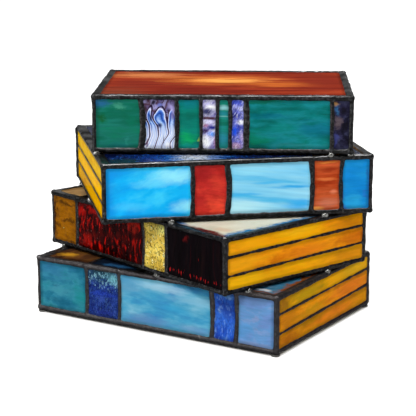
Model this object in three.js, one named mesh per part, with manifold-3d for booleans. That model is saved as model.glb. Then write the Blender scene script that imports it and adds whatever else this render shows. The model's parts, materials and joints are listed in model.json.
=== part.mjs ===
import * as THREE from 'three';
import { mergeVertices } from 'three/addons/utils/BufferGeometryUtils.js';
import Module from 'manifold-3d';

// A table lamp made as a stack of four closed books. Each book is a box of coloured glass pieces whose edges
// are wrapped in copper foil and joined by one continuous skeleton of solder beads. A small screw bulb stands
// in the open well inside the stack. Millimetres, +Z up, origin under the middle of the stack.

const wasm = await Module();
wasm.setup();

// Glass and solder
const glassThickness = 3;
const foilClearance = 0.3;
const solderHeart = 1.2;
const edgeBeadRadius = 2.6;
const cornerBeadRadius = 2.4;
const seamBeadRise = 2.4;
const coverSeamWidth = 4.8;
const pageBeadRadius = 2.2;
const cornerLumpRadius = 3.4;
const tackRadius = 3.7;
const tackSpacing = 14;
const seatGap = 0.3;
const stackGap = 5.8;

// Book 1, the lowest
const book1Length = 247;
const book1Width = 170;
const book1Height = 46;
const book1Turn = THREE.MathUtils.degToRad(-31.7);
const book1SeamShares = [0.215, 0.36, 0.746, 0.844];
const book1BowShares = [0.026, 0.018, 0.033, 0.028];
const book1SeamWidths = [5.8, 5.3, 6.7, 6];
const book1CoverShares = [[0, 0.215], [0.215, 0.42], [0.746, 1]];
const book1PageShares = [[0.32, 0.38], [0.69, 0.71]];

// Book 2
const book2Length = 238;
const book2Width = 165;
const book2Height = 45;
const book2Turn = THREE.MathUtils.degToRad(-48.6);
const book2OffsetX = 0.8;
const book2OffsetY = 3.2;
const book2SeamShares = [0.155, 0.555, 0.688];
const book2BowShares = [0.013, 0.04, 0.022];
const book2SeamWidths = [5.8, 5.3, 5.5];
const book2CoverShares = [[0, 0.155], [0.688, 1]];
const book2PageShares = [[0.3, 0.35], [0.66, 0.7]];

// Book 3
const book3Length = 232;
const book3Width = 188;
const book3Height = 47;
const book3Turn = THREE.MathUtils.degToRad(10.9);
const book3OffsetX = 12.5;
const book3OffsetY = 13.9;
const book3EndBand = 7;
const book3SeamShares = [0.323, 0.452, 0.769, 0.889];
const book3BowShares = [0.017, 0.043, 0.034, -0.026];
const book3SeamWidths = [5.8, 7, 6.2, 5.5];
const book3PageShares = [[0.33, 0.34], [0.67, 0.66]];

// Book 4, the top one
const book4Length = 220;
const book4Width = 149;
const book4Height = 46;
const book4Turn = THREE.MathUtils.degToRad(-2.3);
const book4OffsetX = 18.8;
const book4OffsetY = 14.9;
const book4EndBand = 5;
const book4SeamShares = [0.182, 0.32, 0.416, 0.481, 0.53, 0.592, 0.925];
const book4BowShares = [0.043, 0.022, 0.009, 0, 0.007, 0.013, 0.004];
const book4SeamWidths = [7.2, 5.5, 4.6, 4.8, 4.8, 7.2, 5];
const book4PageShares = [[0.33, 0.33], [0.67, 0.67]];

// Feet under the lowest book
const footRadius = 4;
const footInset = 1.6;
const footHeight = 1.6;
const footChamfer = 0.4;

// Arched notch for the lead at the foot of the back pages, and its rubber liner
const notchShare = 0.28;
const notchRadius = 5.5;
const notchSpring = 3;
const linerWall = 1.2;
const linerDepth = 8;
const linerFloorGap = 0.5;

// Bridge that carries the lamp holder across the open base
const bridgeThickness = 2;
const bridgeWidth = 18;
const bridgeRise = 14;
const bridgeBendRadius = 4;
const bridgeSolderRadius = 3.4;

// Threaded nipple and its nut
const nippleRadius = 5;
const nippleBore = 3.3;
const nippleLength = 15;
const nippleBelowBridge = 6.5;
const nutAcrossFlats = 14;
const nutThickness = 3;

// Lamp holder
const holderRadius = 14;
const holderWall = 2;
const holderBaseHeight = 15;
const holderFloor = 2.5;
const barrelHeight = 34;
const barrelFlange = 2.5;
const barrelFlangeHeight = 3;
const shoulderDepth = 3;
const insulatorThickness = 5;
const shellWall = 0.5;
const shellHeight = 26;
const contactRadius = 2.2;
const contactHeight = 3.4;

// Small screw bulb, 14 mm cap
const capRadius = 6.9;
const threadDepth = 0.6;
const threadPitch = 2.82;
const threadTurns = 3;
const capTaper = 3;
const capTipRadius = 2.4;
const capTipHeight = 1.6;
const capSkirt = 6;
const neckRadius = 5.6;
const neckDepth = 4;
const bulbRadius = 13;
const bulbHeight = 46;
const bulbWall = 0.8;
const bulbCrownShares = [[1, 1.1], [0.72, 0.3]];
const threadClearance = 0.35;

// Facet counts
const beadSides = 8;
const lumpSides = 6;
const lumpRings = 4;
const bowSteps = 4;
const turnedSides = 16;
const smallSides = 12;
const arcSteps = 6;
const envelopeSteps = 8;
const weldDistance = 1e-4;

// A quadratic curve's control point stands this many times as far out as the curve's middle.
const controlPull = 2;
const hexagonSides = 6;
const half = 0.5;
const quarterTurn = Math.PI / 2;
const axisX = new THREE.Vector3(1, 0, 0);
const axisY = new THREE.Vector3(0, 1, 0);
const axisZ = new THREE.Vector3(0, 0, 1);
const halfGlass = glassThickness * half;
const cornerInset = halfGlass + foilClearance;
const seamInset = solderHeart * half;

// Glass and metal finishes
const solderColour = 0x2f3033;
const pageColour = 0xdf9c14;
const finishes = {
  solder: { color: solderColour, roughness: 0.32, metalness: 0.9 },
  glass: { roughness: 0.12, metalness: 0 },
  steel: { color: 0x9a9ca0, roughness: 0.4, metalness: 1 },
  brass: { color: 0xc9a54a, roughness: 0.3, metalness: 1 },
  holder: { color: 0x1b1b1d, roughness: 0.5, metalness: 0 },
  ceramic: { color: 0xe9e4da, roughness: 0.35, metalness: 0 },
  rubber: { color: 0x202020, roughness: 0.85, metalness: 0 },
  bulbGlass: { color: 0xf4efe2, roughness: 0.25, metalness: 0 },
};

// Solids

function solid(geometry) {
  const bare = geometry.clone();
  bare.deleteAttribute('normal');
  bare.deleteAttribute('uv');
  const merged = mergeVertices(bare, weldDistance);
  const corners = merged.index.array;
  const kept = [];
  for (let i = 0; i < corners.length; i += 3) {
    const [a, b, c] = [corners[i], corners[i + 1], corners[i + 2]];
    if (a !== b && b !== c && c !== a) kept.push(a, b, c);
  }
  return new wasm.Manifold(new wasm.Mesh({
    numProp: 3,
    vertProperties: new Float32Array(merged.attributes.position.array),
    triVerts: new Uint32Array(kept),
  }));
}

function geometryOf(manifold) {
  const { vertProperties, triVerts } = manifold.getMesh();
  const geometry = new THREE.BufferGeometry();
  geometry.setAttribute('position', new THREE.BufferAttribute(new Float32Array(vertProperties), 3));
  geometry.setIndex(new THREE.BufferAttribute(new Uint32Array(triVerts), 1));
  return geometry;
}

function joined(geometries) {
  return geometries.map(solid).reduce((whole, piece) => whole.add(piece));
}

function without(whole, geometries) {
  return geometries.map(solid).reduce((rest, piece) => rest.subtract(piece), whole);
}

// Beads and lumps of solder

function ovalOutline(rise, width, sides = beadSides) {
  const points = [];
  for (let i = 0; i < sides; i += 1) {
    const angle = ((i + half) / sides) * Math.PI * 2;
    points.push(new THREE.Vector2(Math.cos(angle) * rise, Math.sin(angle) * width * half));
  }
  return new THREE.Shape(points);
}

function circleOutline(radius, sides = beadSides) {
  return ovalOutline(radius, radius * 2, sides);
}

function bead(from, to, radius, sides = beadSides) {
  const along = new THREE.Vector3().subVectors(to, from);
  const geometry = new THREE.ExtrudeGeometry(circleOutline(radius, sides), {
    depth: along.length(), bevelEnabled: false,
  });
  geometry.applyQuaternion(new THREE.Quaternion().setFromUnitVectors(axisZ, along.normalize()));
  return geometry.translate(from.x, from.y, from.z);
}

// A seam bead, which is wider than it is high.
function bowedBead(from, to, bow, width) {
  const middle = new THREE.Vector3().addVectors(from, to).multiplyScalar(half);
  const pull = middle.addScaledVector(bow, controlPull);
  const path = new THREE.QuadraticBezierCurve3(from, pull, to);
  return new THREE.ExtrudeGeometry(ovalOutline(seamBeadRise, width), {
    extrudePath: path, steps: bowSteps, bevelEnabled: false,
  });
}

function lump(at, radius) {
  return new THREE.SphereGeometry(radius, lumpSides, lumpRings)
    .rotateX(quarterTurn)
    .translate(at.x, at.y, at.z);
}

// Faces of a book. A face's drawing plane starts at its lower left corner seen from outside: x runs along
// the face, y up it, and z points out of the book.

function faceOf(book, side) {
  const { length, width, height } = book;
  const [u, w] = [length * half, width * half];
  const turned = (x, y) => new THREE.Matrix4().makeBasis(x, y, new THREE.Vector3().crossVectors(x, y));
  const table = {
    spine: { span: length, rise: height, x: axisX, y: axisZ, start: [-u, -w, 0] },
    right: { span: width, rise: height, x: axisY, y: axisZ, start: [u, -w, 0] },
    back: { span: length, rise: height, x: axisX.clone().negate(), y: axisZ, start: [u, w, 0] },
    left: { span: width, rise: height, x: axisY.clone().negate(), y: axisZ, start: [-u, w, 0] },
    cover: { span: length, rise: width, x: axisX, y: axisY, start: [-u, -w, height] },
  };
  const face = table[side];
  return { span: face.span, rise: face.rise, matrix: turned(face.x, face.y).setPosition(...face.start) };
}

// A piece's two long edges: how far along the face they stand, their inset from that line and their bow.
function pieceEdges(book, from, to) {
  const seams = [0, ...book.seams, 1];
  const bows = [0, ...book.bows, 0];
  const last = seams.length - 1;
  const edge = (i) => ({
    at: seams[i] * book.length,
    inset: i === 0 || i === last ? cornerInset : seamInset,
    bow: bows[i] * book.height,
  });
  return { left: edge(from), right: edge(to) };
}

function sheet(outline, grow) {
  const depth = glassThickness + grow * 2;
  return new THREE.ExtrudeGeometry(outline, { depth, bevelEnabled: false, curveSegments: bowSteps })
    .translate(0, 0, -depth * half);
}

function spineGlass(book, index, grow = 0) {
  const { left, right } = pieceEdges(book, index, index + 1);
  const [x0, x1] = [left.at + left.inset - grow, right.at - right.inset + grow];
  const [y0, y1] = [cornerInset - grow, book.height - cornerInset + grow];
  const middle = book.height * half;
  const outline = new THREE.Shape();
  outline.moveTo(x0, y0);
  outline.lineTo(x1, y0);
  if (right.bow) outline.quadraticCurveTo(x1 + right.bow * controlPull, middle, x1, y1);
  else outline.lineTo(x1, y1);
  outline.lineTo(x0, y1);
  if (left.bow) outline.quadraticCurveTo(x0 + left.bow * controlPull, middle, x0, y0);
  return sheet(outline, grow);
}

function rectangle(x0, y0, x1, y1) {
  const corners = [[x0, y0], [x1, y0], [x1, y1], [x0, y1]];
  return new THREE.Shape(corners.map((point) => new THREE.Vector2(...point)));
}

function coverGlass(book, piece, grow = 0) {
  return sheet(rectangle(
    piece.from + piece.fromInset - grow,
    cornerInset - grow,
    piece.to - piece.toInset + grow,
    book.width - cornerInset + grow,
  ), grow);
}

// Page sides: three strips of glass with two thin seams between them, soldered into one panel on the bench
// before the box is put together.

function pagePlate(face, grow = 0) {
  return sheet(rectangle(
    cornerInset - grow, cornerInset - grow, face.span - cornerInset + grow, face.rise - cornerInset + grow,
  ), grow);
}

function notchOutline(radius, foot) {
  const outline = new THREE.Shape();
  outline.moveTo(radius, foot);
  outline.lineTo(radius, notchSpring);
  outline.absarc(0, notchSpring, radius, 0, Math.PI, false);
  outline.lineTo(-radius, foot);
  return outline;
}

function notchCutter(book, radius, reach) {
  const depth = reach * 2;
  const cutter = new THREE.ExtrudeGeometry(notchOutline(radius, -reach), {
    depth, bevelEnabled: false, curveSegments: arcSteps,
  });
  return cutter.translate(notchShare * book.length, 0, -reach);
}

// Where the notch stands in the book, along its spine
function notchPlace(book) {
  return new THREE.Vector3((half - notchShare) * book.length, book.width * half, 0);
}

const notchBeadLine = notchRadius + pageBeadRadius;

function pagePanel(book, side) {
  const face = faceOf(book, side);
  const end = cornerBeadRadius + seatGap;
  const seams = book.pages.map(([near, far]) => {
    const [first, second] = side === 'right' ? [near, far] : [far, near];
    const ends = side === 'back' ? [far, far] : [first, second];
    return bead(
      new THREE.Vector3(end, ends[0] * face.rise, 0),
      new THREE.Vector3(face.span - end, ends[1] * face.rise, 0),
      pageBeadRadius,
    );
  });
  const panel = joined([pagePlate(face), ...seams]);
  if (!(book.notched && side === 'back')) return panel;
  return without(panel, [notchCutter(book, notchBeadLine + seamInset, edgeBeadRadius * 2)]);
}

// Solder skeleton of one book

function boxCorners(book) {
  const [u, w] = [book.length * half, book.width * half];
  return [[-u, -w], [u, -w], [u, w], [-u, w]];
}

// Beads and lumps along the twelve edges of the box. Their inner sides end at the glass.
function boxFrame(book) {
  const inside = new THREE.BoxGeometry(
    book.length - glassThickness, book.width - glassThickness, book.height - glassThickness,
  ).translate(0, 0, book.height * half);
  return without(joined(edgeBeads(book)), [inside]);
}

function edgeBeads(book) {
  const corners = boxCorners(book);
  const beads = [];
  corners.forEach(([x, y], i) => {
    const [nextX, nextY] = corners[(i + 1) % corners.length];
    for (const z of [0, book.height]) {
      beads.push(bead(new THREE.Vector3(x, y, z), new THREE.Vector3(nextX, nextY, z), edgeBeadRadius));
      beads.push(lump(new THREE.Vector3(x, y, z), cornerLumpRadius));
    }
    beads.push(bead(new THREE.Vector3(x, y, 0), new THREE.Vector3(x, y, book.height), cornerBeadRadius));
  });
  return beads;
}

function spineBeads(book) {
  const front = -book.width * half;
  return book.seams.map((share, i) => {
    const x = (share - half) * book.length;
    const bow = new THREE.Vector3(book.bows[i] * book.height, 0, 0);
    const [low, high] = [0, book.height].map((z) => new THREE.Vector3(x, front, z));
    return bowedBead(low, high, bow, book.seamWidths[i]);
  });
}

// A cover's inner seams, some of them beside the open well, or the flat band at each end of a cover that is
// one sheet.
function coverBeads(book) {
  const w = book.width * half;
  if (!book.endBand) {
    const inner = book.covers.flatMap(({ from, to }) => [from, to]).filter((x) => x > 0 && x < book.length);
    return [...new Set(inner)].map((x) => {
      const [front, back] = [-w, w].map((y) => new THREE.Vector3(x - book.length * half, y, book.height));
      return bead(front, back, coverSeamWidth * half);
    });
  }
  const beads = [];
  const section = new THREE.Shape();
  section.absellipse(0, 0, book.endBand * half + seamInset, seamBeadRise, 0, Math.PI * 2);
  for (const side of [-1, 1]) {
    const band = new THREE.ExtrudeGeometry(section, {
      depth: book.width, bevelEnabled: false, curveSegments: bowSteps,
    });
    band.rotateX(quarterTurn);
    beads.push(band.translate(side * (book.length - book.endBand) * half, w, book.height));
  }
  return beads;
}

// Where the bottom edges of the book above cross the top edges of this one, seen from above.
function crossings(lower, upper) {
  const outline = (book) => boxCorners(book).map(([x, y]) => new THREE.Vector2(x, y)
    .rotateAround(new THREE.Vector2(), book.turn).add(new THREE.Vector2(book.x, book.y)));
  const [low, high] = [outline(lower), outline(upper)];
  const found = [];
  low.forEach((a, i) => {
    const run = low[(i + 1) % low.length].clone().sub(a);
    high.forEach((b, j) => {
      const other = high[(j + 1) % high.length].clone().sub(b);
      const between = b.clone().sub(a);
      const slant = run.cross(other);
      const [s, t] = [between.cross(other) / slant, between.cross(run) / slant];
      if (s <= 0 || s >= 1 || t <= 0 || t >= 1) return;
      const point = a.clone().addScaledVector(run, s);
      if (found.every((one) => one.distanceTo(point) > tackSpacing)) found.push(point);
    });
  });
  return found;
}

function toBook(book, point) {
  const local = point.clone()
    .sub(new THREE.Vector2(book.x, book.y))
    .rotateAround(new THREE.Vector2(), -book.turn);
  return new THREE.Vector3(local.x, local.y, 0);
}

// Lumps of solder that tack this book to the one above. They stop short of that book's bottom edge beads.
function tackLumps(book, upper) {
  const rise = book.height + stackGap * half;
  const lumps = crossings(book, upper).map((point) => lump(toBook(book, point).setZ(rise), tackRadius));
  const above = boxCorners(upper).map(([x, y]) => toBook(book, new THREE.Vector2(x, y)
    .rotateAround(new THREE.Vector2(), upper.turn).add(new THREE.Vector2(upper.x, upper.y)))
    .setZ(book.height + stackGap));
  const keepOut = above.flatMap((corner, i) => [
    bead(corner, above[(i + 1) % above.length], edgeBeadRadius + seatGap),
    lump(corner, cornerLumpRadius + seatGap),
  ]);
  return without(joined(lumps), keepOut);
}

// Solder round the notch for the lead
function notchBead(book) {
  const points = notchOutline(notchBeadLine, 0).getSpacedPoints(arcSteps);
  const place = notchPlace(book);
  const path = new THREE.CatmullRomCurve3(points.map((p) => new THREE.Vector3(p.x, 0, p.y).add(place)));
  return new THREE.ExtrudeGeometry(circleOutline(pageBeadRadius), {
    extrudePath: path, steps: arcSteps * 2, bevelEnabled: false,
  });
}

function glassCutters(book) {
  const onFace = (geometry, side) => geometry.applyMatrix4(faceOf(book, side).matrix);
  return [
    ...book.spine.map((_, i) => onFace(spineGlass(book, i, foilClearance), 'spine')),
    ...book.covers.map((piece) => onFace(coverGlass(book, piece, foilClearance), 'cover')),
    ...['right', 'left'].map((side) => onFace(pagePlate(faceOf(book, side), foilClearance), side)),
  ];
}

function backCutter(book) {
  const face = faceOf(book, 'back');
  const plate = solid(pagePlate(face, foilClearance));
  const cut = book.notched
    ? without(plate, [notchCutter(book, notchBeadLine + seamInset - foilClearance, edgeBeadRadius * 2)])
    : plate;
  return geometryOf(cut).applyMatrix4(face.matrix);
}

function solderFrame(book, upper) {
  let frame = boxFrame(book).add(joined([...spineBeads(book), ...coverBeads(book)]));
  if (upper) frame = frame.add(tackLumps(book, upper));
  if (book.notched) {
    frame = frame.add(joined([notchBead(book), ...bridgeSolder(book)]));
    frame = without(frame, [
      notchCutter(book, notchRadius, edgeBeadRadius * 2).applyMatrix4(faceOf(book, 'back').matrix),
      bridgeBlank(book, foilClearance),
      floorCutter(book),
    ]);
  }
  return without(frame, [...glassCutters(book), backCutter(book)]);
}

// The lowest book's corner lumps and bridge solder are filed flat, level with its bottom beads.
function floorCutter(book) {
  const reach = book.length + book.width;
  return new THREE.BoxGeometry(reach, reach, cornerLumpRadius)
    .translate(0, 0, -edgeBeadRadius - cornerLumpRadius * half);
}

// Bridge: a steel strap bent down at both ends, standing on the bottom beads of the spine and the back.

const bridgeStand = Math.sqrt((edgeBeadRadius + seatGap) ** 2 - cornerInset ** 2);

function bridgeProfile(book, grow) {
  const outer = book.width * half - cornerInset + grow;
  const [foot, top] = [bridgeStand - grow, bridgeRise + grow];
  const inner = outer - bridgeThickness - grow * 2;
  const under = top - bridgeThickness - grow * 2;
  const bend = bridgeBendRadius;
  const innerBend = bend - bridgeThickness;
  const outline = new THREE.Shape();
  outline.moveTo(outer, foot);
  outline.lineTo(outer, top - bend);
  outline.absarc(outer - bend, top - bend, bend, 0, quarterTurn, false);
  outline.lineTo(bend - outer, top);
  outline.absarc(bend - outer, top - bend, bend, quarterTurn, Math.PI, false);
  outline.lineTo(-outer, foot);
  outline.lineTo(-inner, foot);
  outline.lineTo(-inner, under - innerBend);
  outline.absarc(innerBend - inner, under - innerBend, innerBend, Math.PI, quarterTurn, true);
  outline.lineTo(inner - innerBend, under);
  outline.absarc(inner - innerBend, under - innerBend, innerBend, quarterTurn, 0, true);
  outline.lineTo(inner, foot);
  return outline;
}

function bridgeBlank(book, grow = 0) {
  const depth = bridgeWidth + grow * 2;
  const strap = new THREE.ExtrudeGeometry(bridgeProfile(book, grow), {
    depth, bevelEnabled: false, curveSegments: bowSteps,
  });
  return strap.translate(0, 0, -depth * half).rotateX(quarterTurn).rotateZ(quarterTurn);
}

// Lumps of solder that hold the bridge's feet by their corners
function bridgeSolder(book) {
  const [x, y] = [bridgeWidth * half, book.width * half - edgeBeadRadius];
  return [[x, y], [-x, y], [-x, -y], [x, -y]]
    .map((place) => lump(new THREE.Vector3(...place, 0), bridgeSolderRadius));
}

function bridge(book) {
  const hole = bead(
    axisZ.clone().multiplyScalar(bridgeRise - bridgeThickness * 2),
    axisZ.clone().multiplyScalar(bridgeRise + bridgeThickness),
    nippleRadius + seatGap,
    smallSides,
  );
  return without(solid(bridgeBlank(book)), [hole]);
}

// Turned pieces

function turned(profile, sides = turnedSides) {
  const points = profile.map(([r, z]) => new THREE.Vector2(r, z));
  return new THREE.LatheGeometry(points, sides).rotateX(quarterTurn);
}

function closedTurned(profile, sides) {
  return turned([...profile, profile[0]], sides);
}

function foot() {
  return turned([
    [0, 0], [footRadius - footChamfer, 0], [footRadius, footChamfer],
    [footRadius, footHeight], [0, footHeight],
  ], smallSides);
}

function nipple() {
  return closedTurned([
    [nippleBore, 0], [nippleRadius, 0], [nippleRadius, nippleLength], [nippleBore, nippleLength],
  ], smallSides);
}

function nut() {
  const outline = circleOutline(nutAcrossFlats * half / Math.cos(Math.PI / hexagonSides), hexagonSides);
  outline.holes.push(new THREE.Path().absarc(0, 0, nippleRadius + seatGap, 0, Math.PI * 2, true));
  return new THREE.ExtrudeGeometry(outline, {
    depth: nutThickness, bevelEnabled: false, curveSegments: arcSteps,
  });
}

const insulatorRadius = holderRadius - holderWall - seatGap;
const insulatorBottom = nippleLength - nippleBelowBridge;
const nippleHole = nippleRadius + seatGap;

// Cup that screws on the nipple and closes the holder from below
function holderBase() {
  const inside = holderRadius - holderWall;
  const bossRadius = nippleHole + holderWall;
  return closedTurned([
    [nippleHole, 0], [holderRadius - shoulderDepth, 0], [holderRadius, shoulderDepth],
    [holderRadius, holderBaseHeight], [inside, holderBaseHeight],
    [inside, shoulderDepth], [inside - half * shoulderDepth, holderFloor],
    [bossRadius, holderFloor], [bossRadius, insulatorBottom - seatGap],
    [nippleHole, insulatorBottom - seatGap],
  ]);
}

// Sleeve over the screw shell, with a flange at its mouth
function holderBarrel() {
  const inside = holderRadius - holderWall;
  const flange = holderRadius + barrelFlange;
  return closedTurned([
    [inside, 0], [holderRadius, 0], [holderRadius, barrelHeight - barrelFlangeHeight - barrelFlange],
    [flange, barrelHeight - barrelFlangeHeight], [flange, barrelHeight], [inside, barrelHeight],
  ]);
}

function insulator() {
  return turned([
    [0, 0], [insulatorRadius, 0], [insulatorRadius, insulatorThickness], [0, insulatorThickness],
  ]);
}

function contact() {
  return turned([
    [0, 0], [contactRadius, 0], [contactRadius, contactHeight * half],
    [contactRadius * half, contactHeight], [0, contactHeight],
  ], smallSides);
}

// Ring grooves stand for the rolled thread, so that the cap can turn in place inside the shell.
function threadRings(radius, bottom) {
  const rings = [];
  for (let i = 0; i < threadTurns; i += 1) {
    const z = bottom + i * threadPitch;
    rings.push([radius - threadDepth, z], [radius, z + threadPitch * half]);
  }
  rings.push([radius - threadDepth, bottom + threadTurns * threadPitch]);
  return rings;
}

const threadBottom = capTipHeight + capTaper;
const threadTop = threadBottom + threadTurns * threadPitch;
const shellBottomToCap = contactHeight + seatGap;

function screwShell() {
  const inner = threadRings(capRadius + threadClearance, shellBottomToCap + threadBottom);
  const outer = threadRings(capRadius + threadClearance + shellWall, shellBottomToCap + threadBottom);
  const foot = capRadius + threadClearance - threadDepth;
  const hole = contactRadius + threadClearance * 2;
  return closedTurned([
    [hole, 0], [foot + shellWall, 0], ...outer, [foot + shellWall, shellHeight],
    [foot, shellHeight], ...inner.reverse(), [foot, shellWall], [hole, shellWall],
  ]);
}

function bulbCap() {
  const root = capRadius - threadDepth;
  const skirtTop = threadTop + capSkirt;
  const socket = neckRadius + seatGap;
  return turned([
    [0, 0], [capTipRadius, 0], [capTipRadius, capTipHeight], ...threadRings(capRadius, threadBottom),
    [root, skirtTop], [socket, skirtTop], [socket, skirtTop - neckDepth], [0, skirtTop - neckDepth],
  ]);
}

// Thin pear-shaped envelope, open at the neck where the cap closes it. The crown's shares give how wide it is
// and how far below its top, both in radii.
function bulbEnvelope() {
  const outline = (radius, top) => new THREE.SplineCurve([
    new THREE.Vector2(radius * neckRadius / bulbRadius, 0),
    new THREE.Vector2(radius * neckRadius / bulbRadius, neckDepth),
    ...bulbCrownShares.map(([across, below]) => new THREE.Vector2(radius * across, top - radius * below)),
    new THREE.Vector2(0, top),
  ]).getPoints(envelopeSteps).map((p) => [Math.max(p.x, 0), p.y]);
  const outside = outline(bulbRadius, bulbHeight);
  const inside = outline(bulbRadius - bulbWall, bulbHeight - bulbWall);
  return turned([...inside.reverse(), ...outside]);
}

function notchLiner() {
  const outer = notchRadius - seatGap;
  const inner = outer - linerWall;
  const foot = linerFloorGap - edgeBeadRadius;
  const outline = new THREE.Shape();
  outline.moveTo(outer, foot);
  outline.lineTo(outer, notchSpring);
  outline.absarc(0, notchSpring, outer, 0, Math.PI, false);
  outline.lineTo(-outer, foot);
  outline.lineTo(-inner, foot);
  outline.lineTo(-inner, notchSpring);
  outline.absarc(0, notchSpring, inner, Math.PI, 0, true);
  outline.lineTo(inner, foot);
  return new THREE.ExtrudeGeometry(outline, {
    depth: linerDepth, bevelEnabled: false, curveSegments: arcSteps,
  }).translate(0, 0, -linerDepth * half);
}

// The four books

function coverSheet(book) {
  const inset = book.endBand - seamInset;
  return { from: 0, fromInset: inset, to: book.length, toInset: inset };
}

// Cover pieces of the two lower books, on both sides of the open well
function coverPieces(book) {
  return book.coverShares.map(([from, to]) => ({
    from: from * book.length,
    fromInset: from === 0 ? cornerInset : seamInset,
    to: to * book.length,
    toInset: to === 1 ? cornerInset : seamInset,
  }));
}

const books = [
  {
    name: 'book_1', length: book1Length, width: book1Width, height: book1Height, turn: book1Turn, x: 0, y: 0,
    seams: book1SeamShares, bows: book1BowShares, seamWidths: book1SeamWidths, pages: book1PageShares,
    endBand: 0, notched: true, coverShares: book1CoverShares,
    spine: [
      ['teal', 0x2b8ca0], ['cobalt_ripple', 0x2f4aa6], ['sky', 0x62b4d6], ['cobalt', 0x2f4fc4],
      ['periwinkle', 0x6a93cf],
    ],
    coverColours: [['amber', 0xa8702a], ['slate_blue', 0x27506e], ['blue', 0x3f7f9f]],
  },
  {
    name: 'book_2', length: book2Length, width: book2Width, height: book2Height, turn: book2Turn,
    x: book2OffsetX, y: book2OffsetY,
    seams: book2SeamShares, bows: book2BowShares, seamWidths: book2SeamWidths, pages: book2PageShares,
    endBand: 0, notched: false, coverShares: book2CoverShares,
    spine: [
      ['amber', 0xb97c10], ['ruby_ripple', 0x7a0a08], ['gold_hammered', 0xc8b04a], ['dark_ruby', 0x1c0709],
    ],
    coverColours: [['tan', 0xbda07a], ['cream', 0xcfcdbd]],
  },
  {
    name: 'book_3', length: book3Length, width: book3Width, height: book3Height, turn: book3Turn,
    x: book3OffsetX, y: book3OffsetY,
    seams: book3SeamShares, bows: book3BowShares, seamWidths: book3SeamWidths, pages: book3PageShares,
    endBand: book3EndBand, notched: false,
    spine: [
      ['azure', 0x14a4ee], ['red', 0xc6281e], ['pale_blue', 0x86cdf0], ['orange', 0xc5541f],
      ['blue', 0x0f86d6],
    ],
    coverColours: [['cobalt', 0x16307e]],
  },
  {
    name: 'book_4', length: book4Length, width: book4Width, height: book4Height, turn: book4Turn,
    x: book4OffsetX, y: book4OffsetY,
    seams: book4SeamShares, bows: book4BowShares, seamWidths: book4SeamWidths, pages: book4PageShares,
    endBand: book4EndBand, notched: false,
    spine: [
      ['green', 0x14725c], ['violet_ripple', 0x8b86cf], ['green_band', 0x0f7a50], ['violet_band', 0x8a80cc],
      ['green_strip', 0x2a8c6a], ['violet_strip', 0x6f6fd6], ['sea_green', 0x147a74], ['plum', 0x2a2058],
    ],
    coverColours: [['orange', 0xb8451c]],
  },
];

for (const book of books) {
  book.covers = book.endBand ? [coverSheet(book)] : coverPieces(book);
}

// Assembly

function mesh(name, geometry, finish, parent) {
  const piece = new THREE.Mesh(geometry, new THREE.MeshStandardMaterial(finish));
  piece.name = name;
  parent.add(piece);
  return piece;
}

function glassMesh(name, geometry, colour, matrix, parent) {
  const piece = mesh(name, geometry, { ...finishes.glass, color: colour }, parent);
  piece.position.setFromMatrixPosition(matrix);
  piece.quaternion.setFromRotationMatrix(matrix);
}

function bookGroup(book, upper) {
  const group = new THREE.Group();
  mesh(`${book.name}_solder_frame`, geometryOf(solderFrame(book, upper)), finishes.solder, group);
  const spineMatrix = faceOf(book, 'spine').matrix;
  book.spine.forEach(([colourName, colour], i) => {
    glassMesh(`${book.name}_spine_${colourName}`, spineGlass(book, i), colour, spineMatrix, group);
  });
  const coverMatrix = faceOf(book, 'cover').matrix;
  book.covers.forEach((piece, i) => {
    const [colourName, colour] = book.coverColours[i];
    glassMesh(`${book.name}_cover_${colourName}`, coverGlass(book, piece), colour, coverMatrix, group);
  });
  for (const side of ['left', 'right', 'back']) {
    const panel = geometryOf(pagePanel(book, side));
    glassMesh(`${book.name}_pages_${side}`, panel, pageColour, faceOf(book, side).matrix, group);
  }
  return group;
}

function baseGroup(book) {
  const group = new THREE.Group();
  boxCorners(book).forEach(([x, y], i) => {
    const pad = mesh(`foot_${i + 1}`, foot(), finishes.rubber, group);
    const inward = [x - Math.sign(x) * footInset, y - Math.sign(y) * footInset];
    pad.position.set(...inward, -edgeBeadRadius - seatGap - footHeight);
  });
  const backFace = faceOf(book, 'back').matrix;
  const liner = mesh('cord_notch_liner', notchLiner(), finishes.rubber, group);
  liner.quaternion.setFromRotationMatrix(backFace);
  liner.position.copy(notchPlace(book));
  mesh('lamp_bridge', geometryOf(bridge(book)), finishes.steel, group);
  return group;
}

// Lamp holder and bulb, stacked on the bridge from its top face up
function lampGroup() {
  const group = new THREE.Group();
  const stacked = (name, geometry, finish, z) => mesh(name, geometry, finish, group).position.setZ(z);
  const nippleBottom = bridgeRise - nippleBelowBridge;
  const baseBottom = bridgeRise + seatGap;
  const insulatorZ = baseBottom + insulatorBottom;
  const shellZ = insulatorZ + insulatorThickness + seatGap;
  const capZ = shellZ + shellBottomToCap;
  const barrelZ = baseBottom + holderBaseHeight + seatGap;
  const glassZ = capZ + threadTop + capSkirt - neckDepth + seatGap;
  stacked('nipple_nut', nut(), finishes.brass, bridgeRise - bridgeThickness - seatGap - nutThickness);
  stacked('threaded_nipple', nipple(), finishes.brass, nippleBottom);
  stacked('holder_base', holderBase(), finishes.holder, baseBottom);
  stacked('holder_insulator', insulator(), finishes.ceramic, insulatorZ);
  stacked('holder_barrel', holderBarrel(), finishes.holder, barrelZ);
  stacked('screw_shell', screwShell(), finishes.brass, shellZ);
  stacked('centre_contact', contact(), finishes.brass, shellZ);
  stacked('bulb_cap', bulbCap(), finishes.brass, capZ);
  stacked('bulb_glass', bulbEnvelope(), finishes.bulbGlass, glassZ);
  return group;
}

const lamp = new THREE.Group();
let rise = footHeight + seatGap + edgeBeadRadius;
books.forEach((book, i) => {
  const group = bookGroup(book, books[i + 1]);
  if (i === 0) group.add(baseGroup(book), lampGroup());
  group.position.set(book.x, book.y, rise);
  group.rotation.z = book.turn;
  lamp.add(group);
  rise += book.height + stackGap;
});

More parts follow.
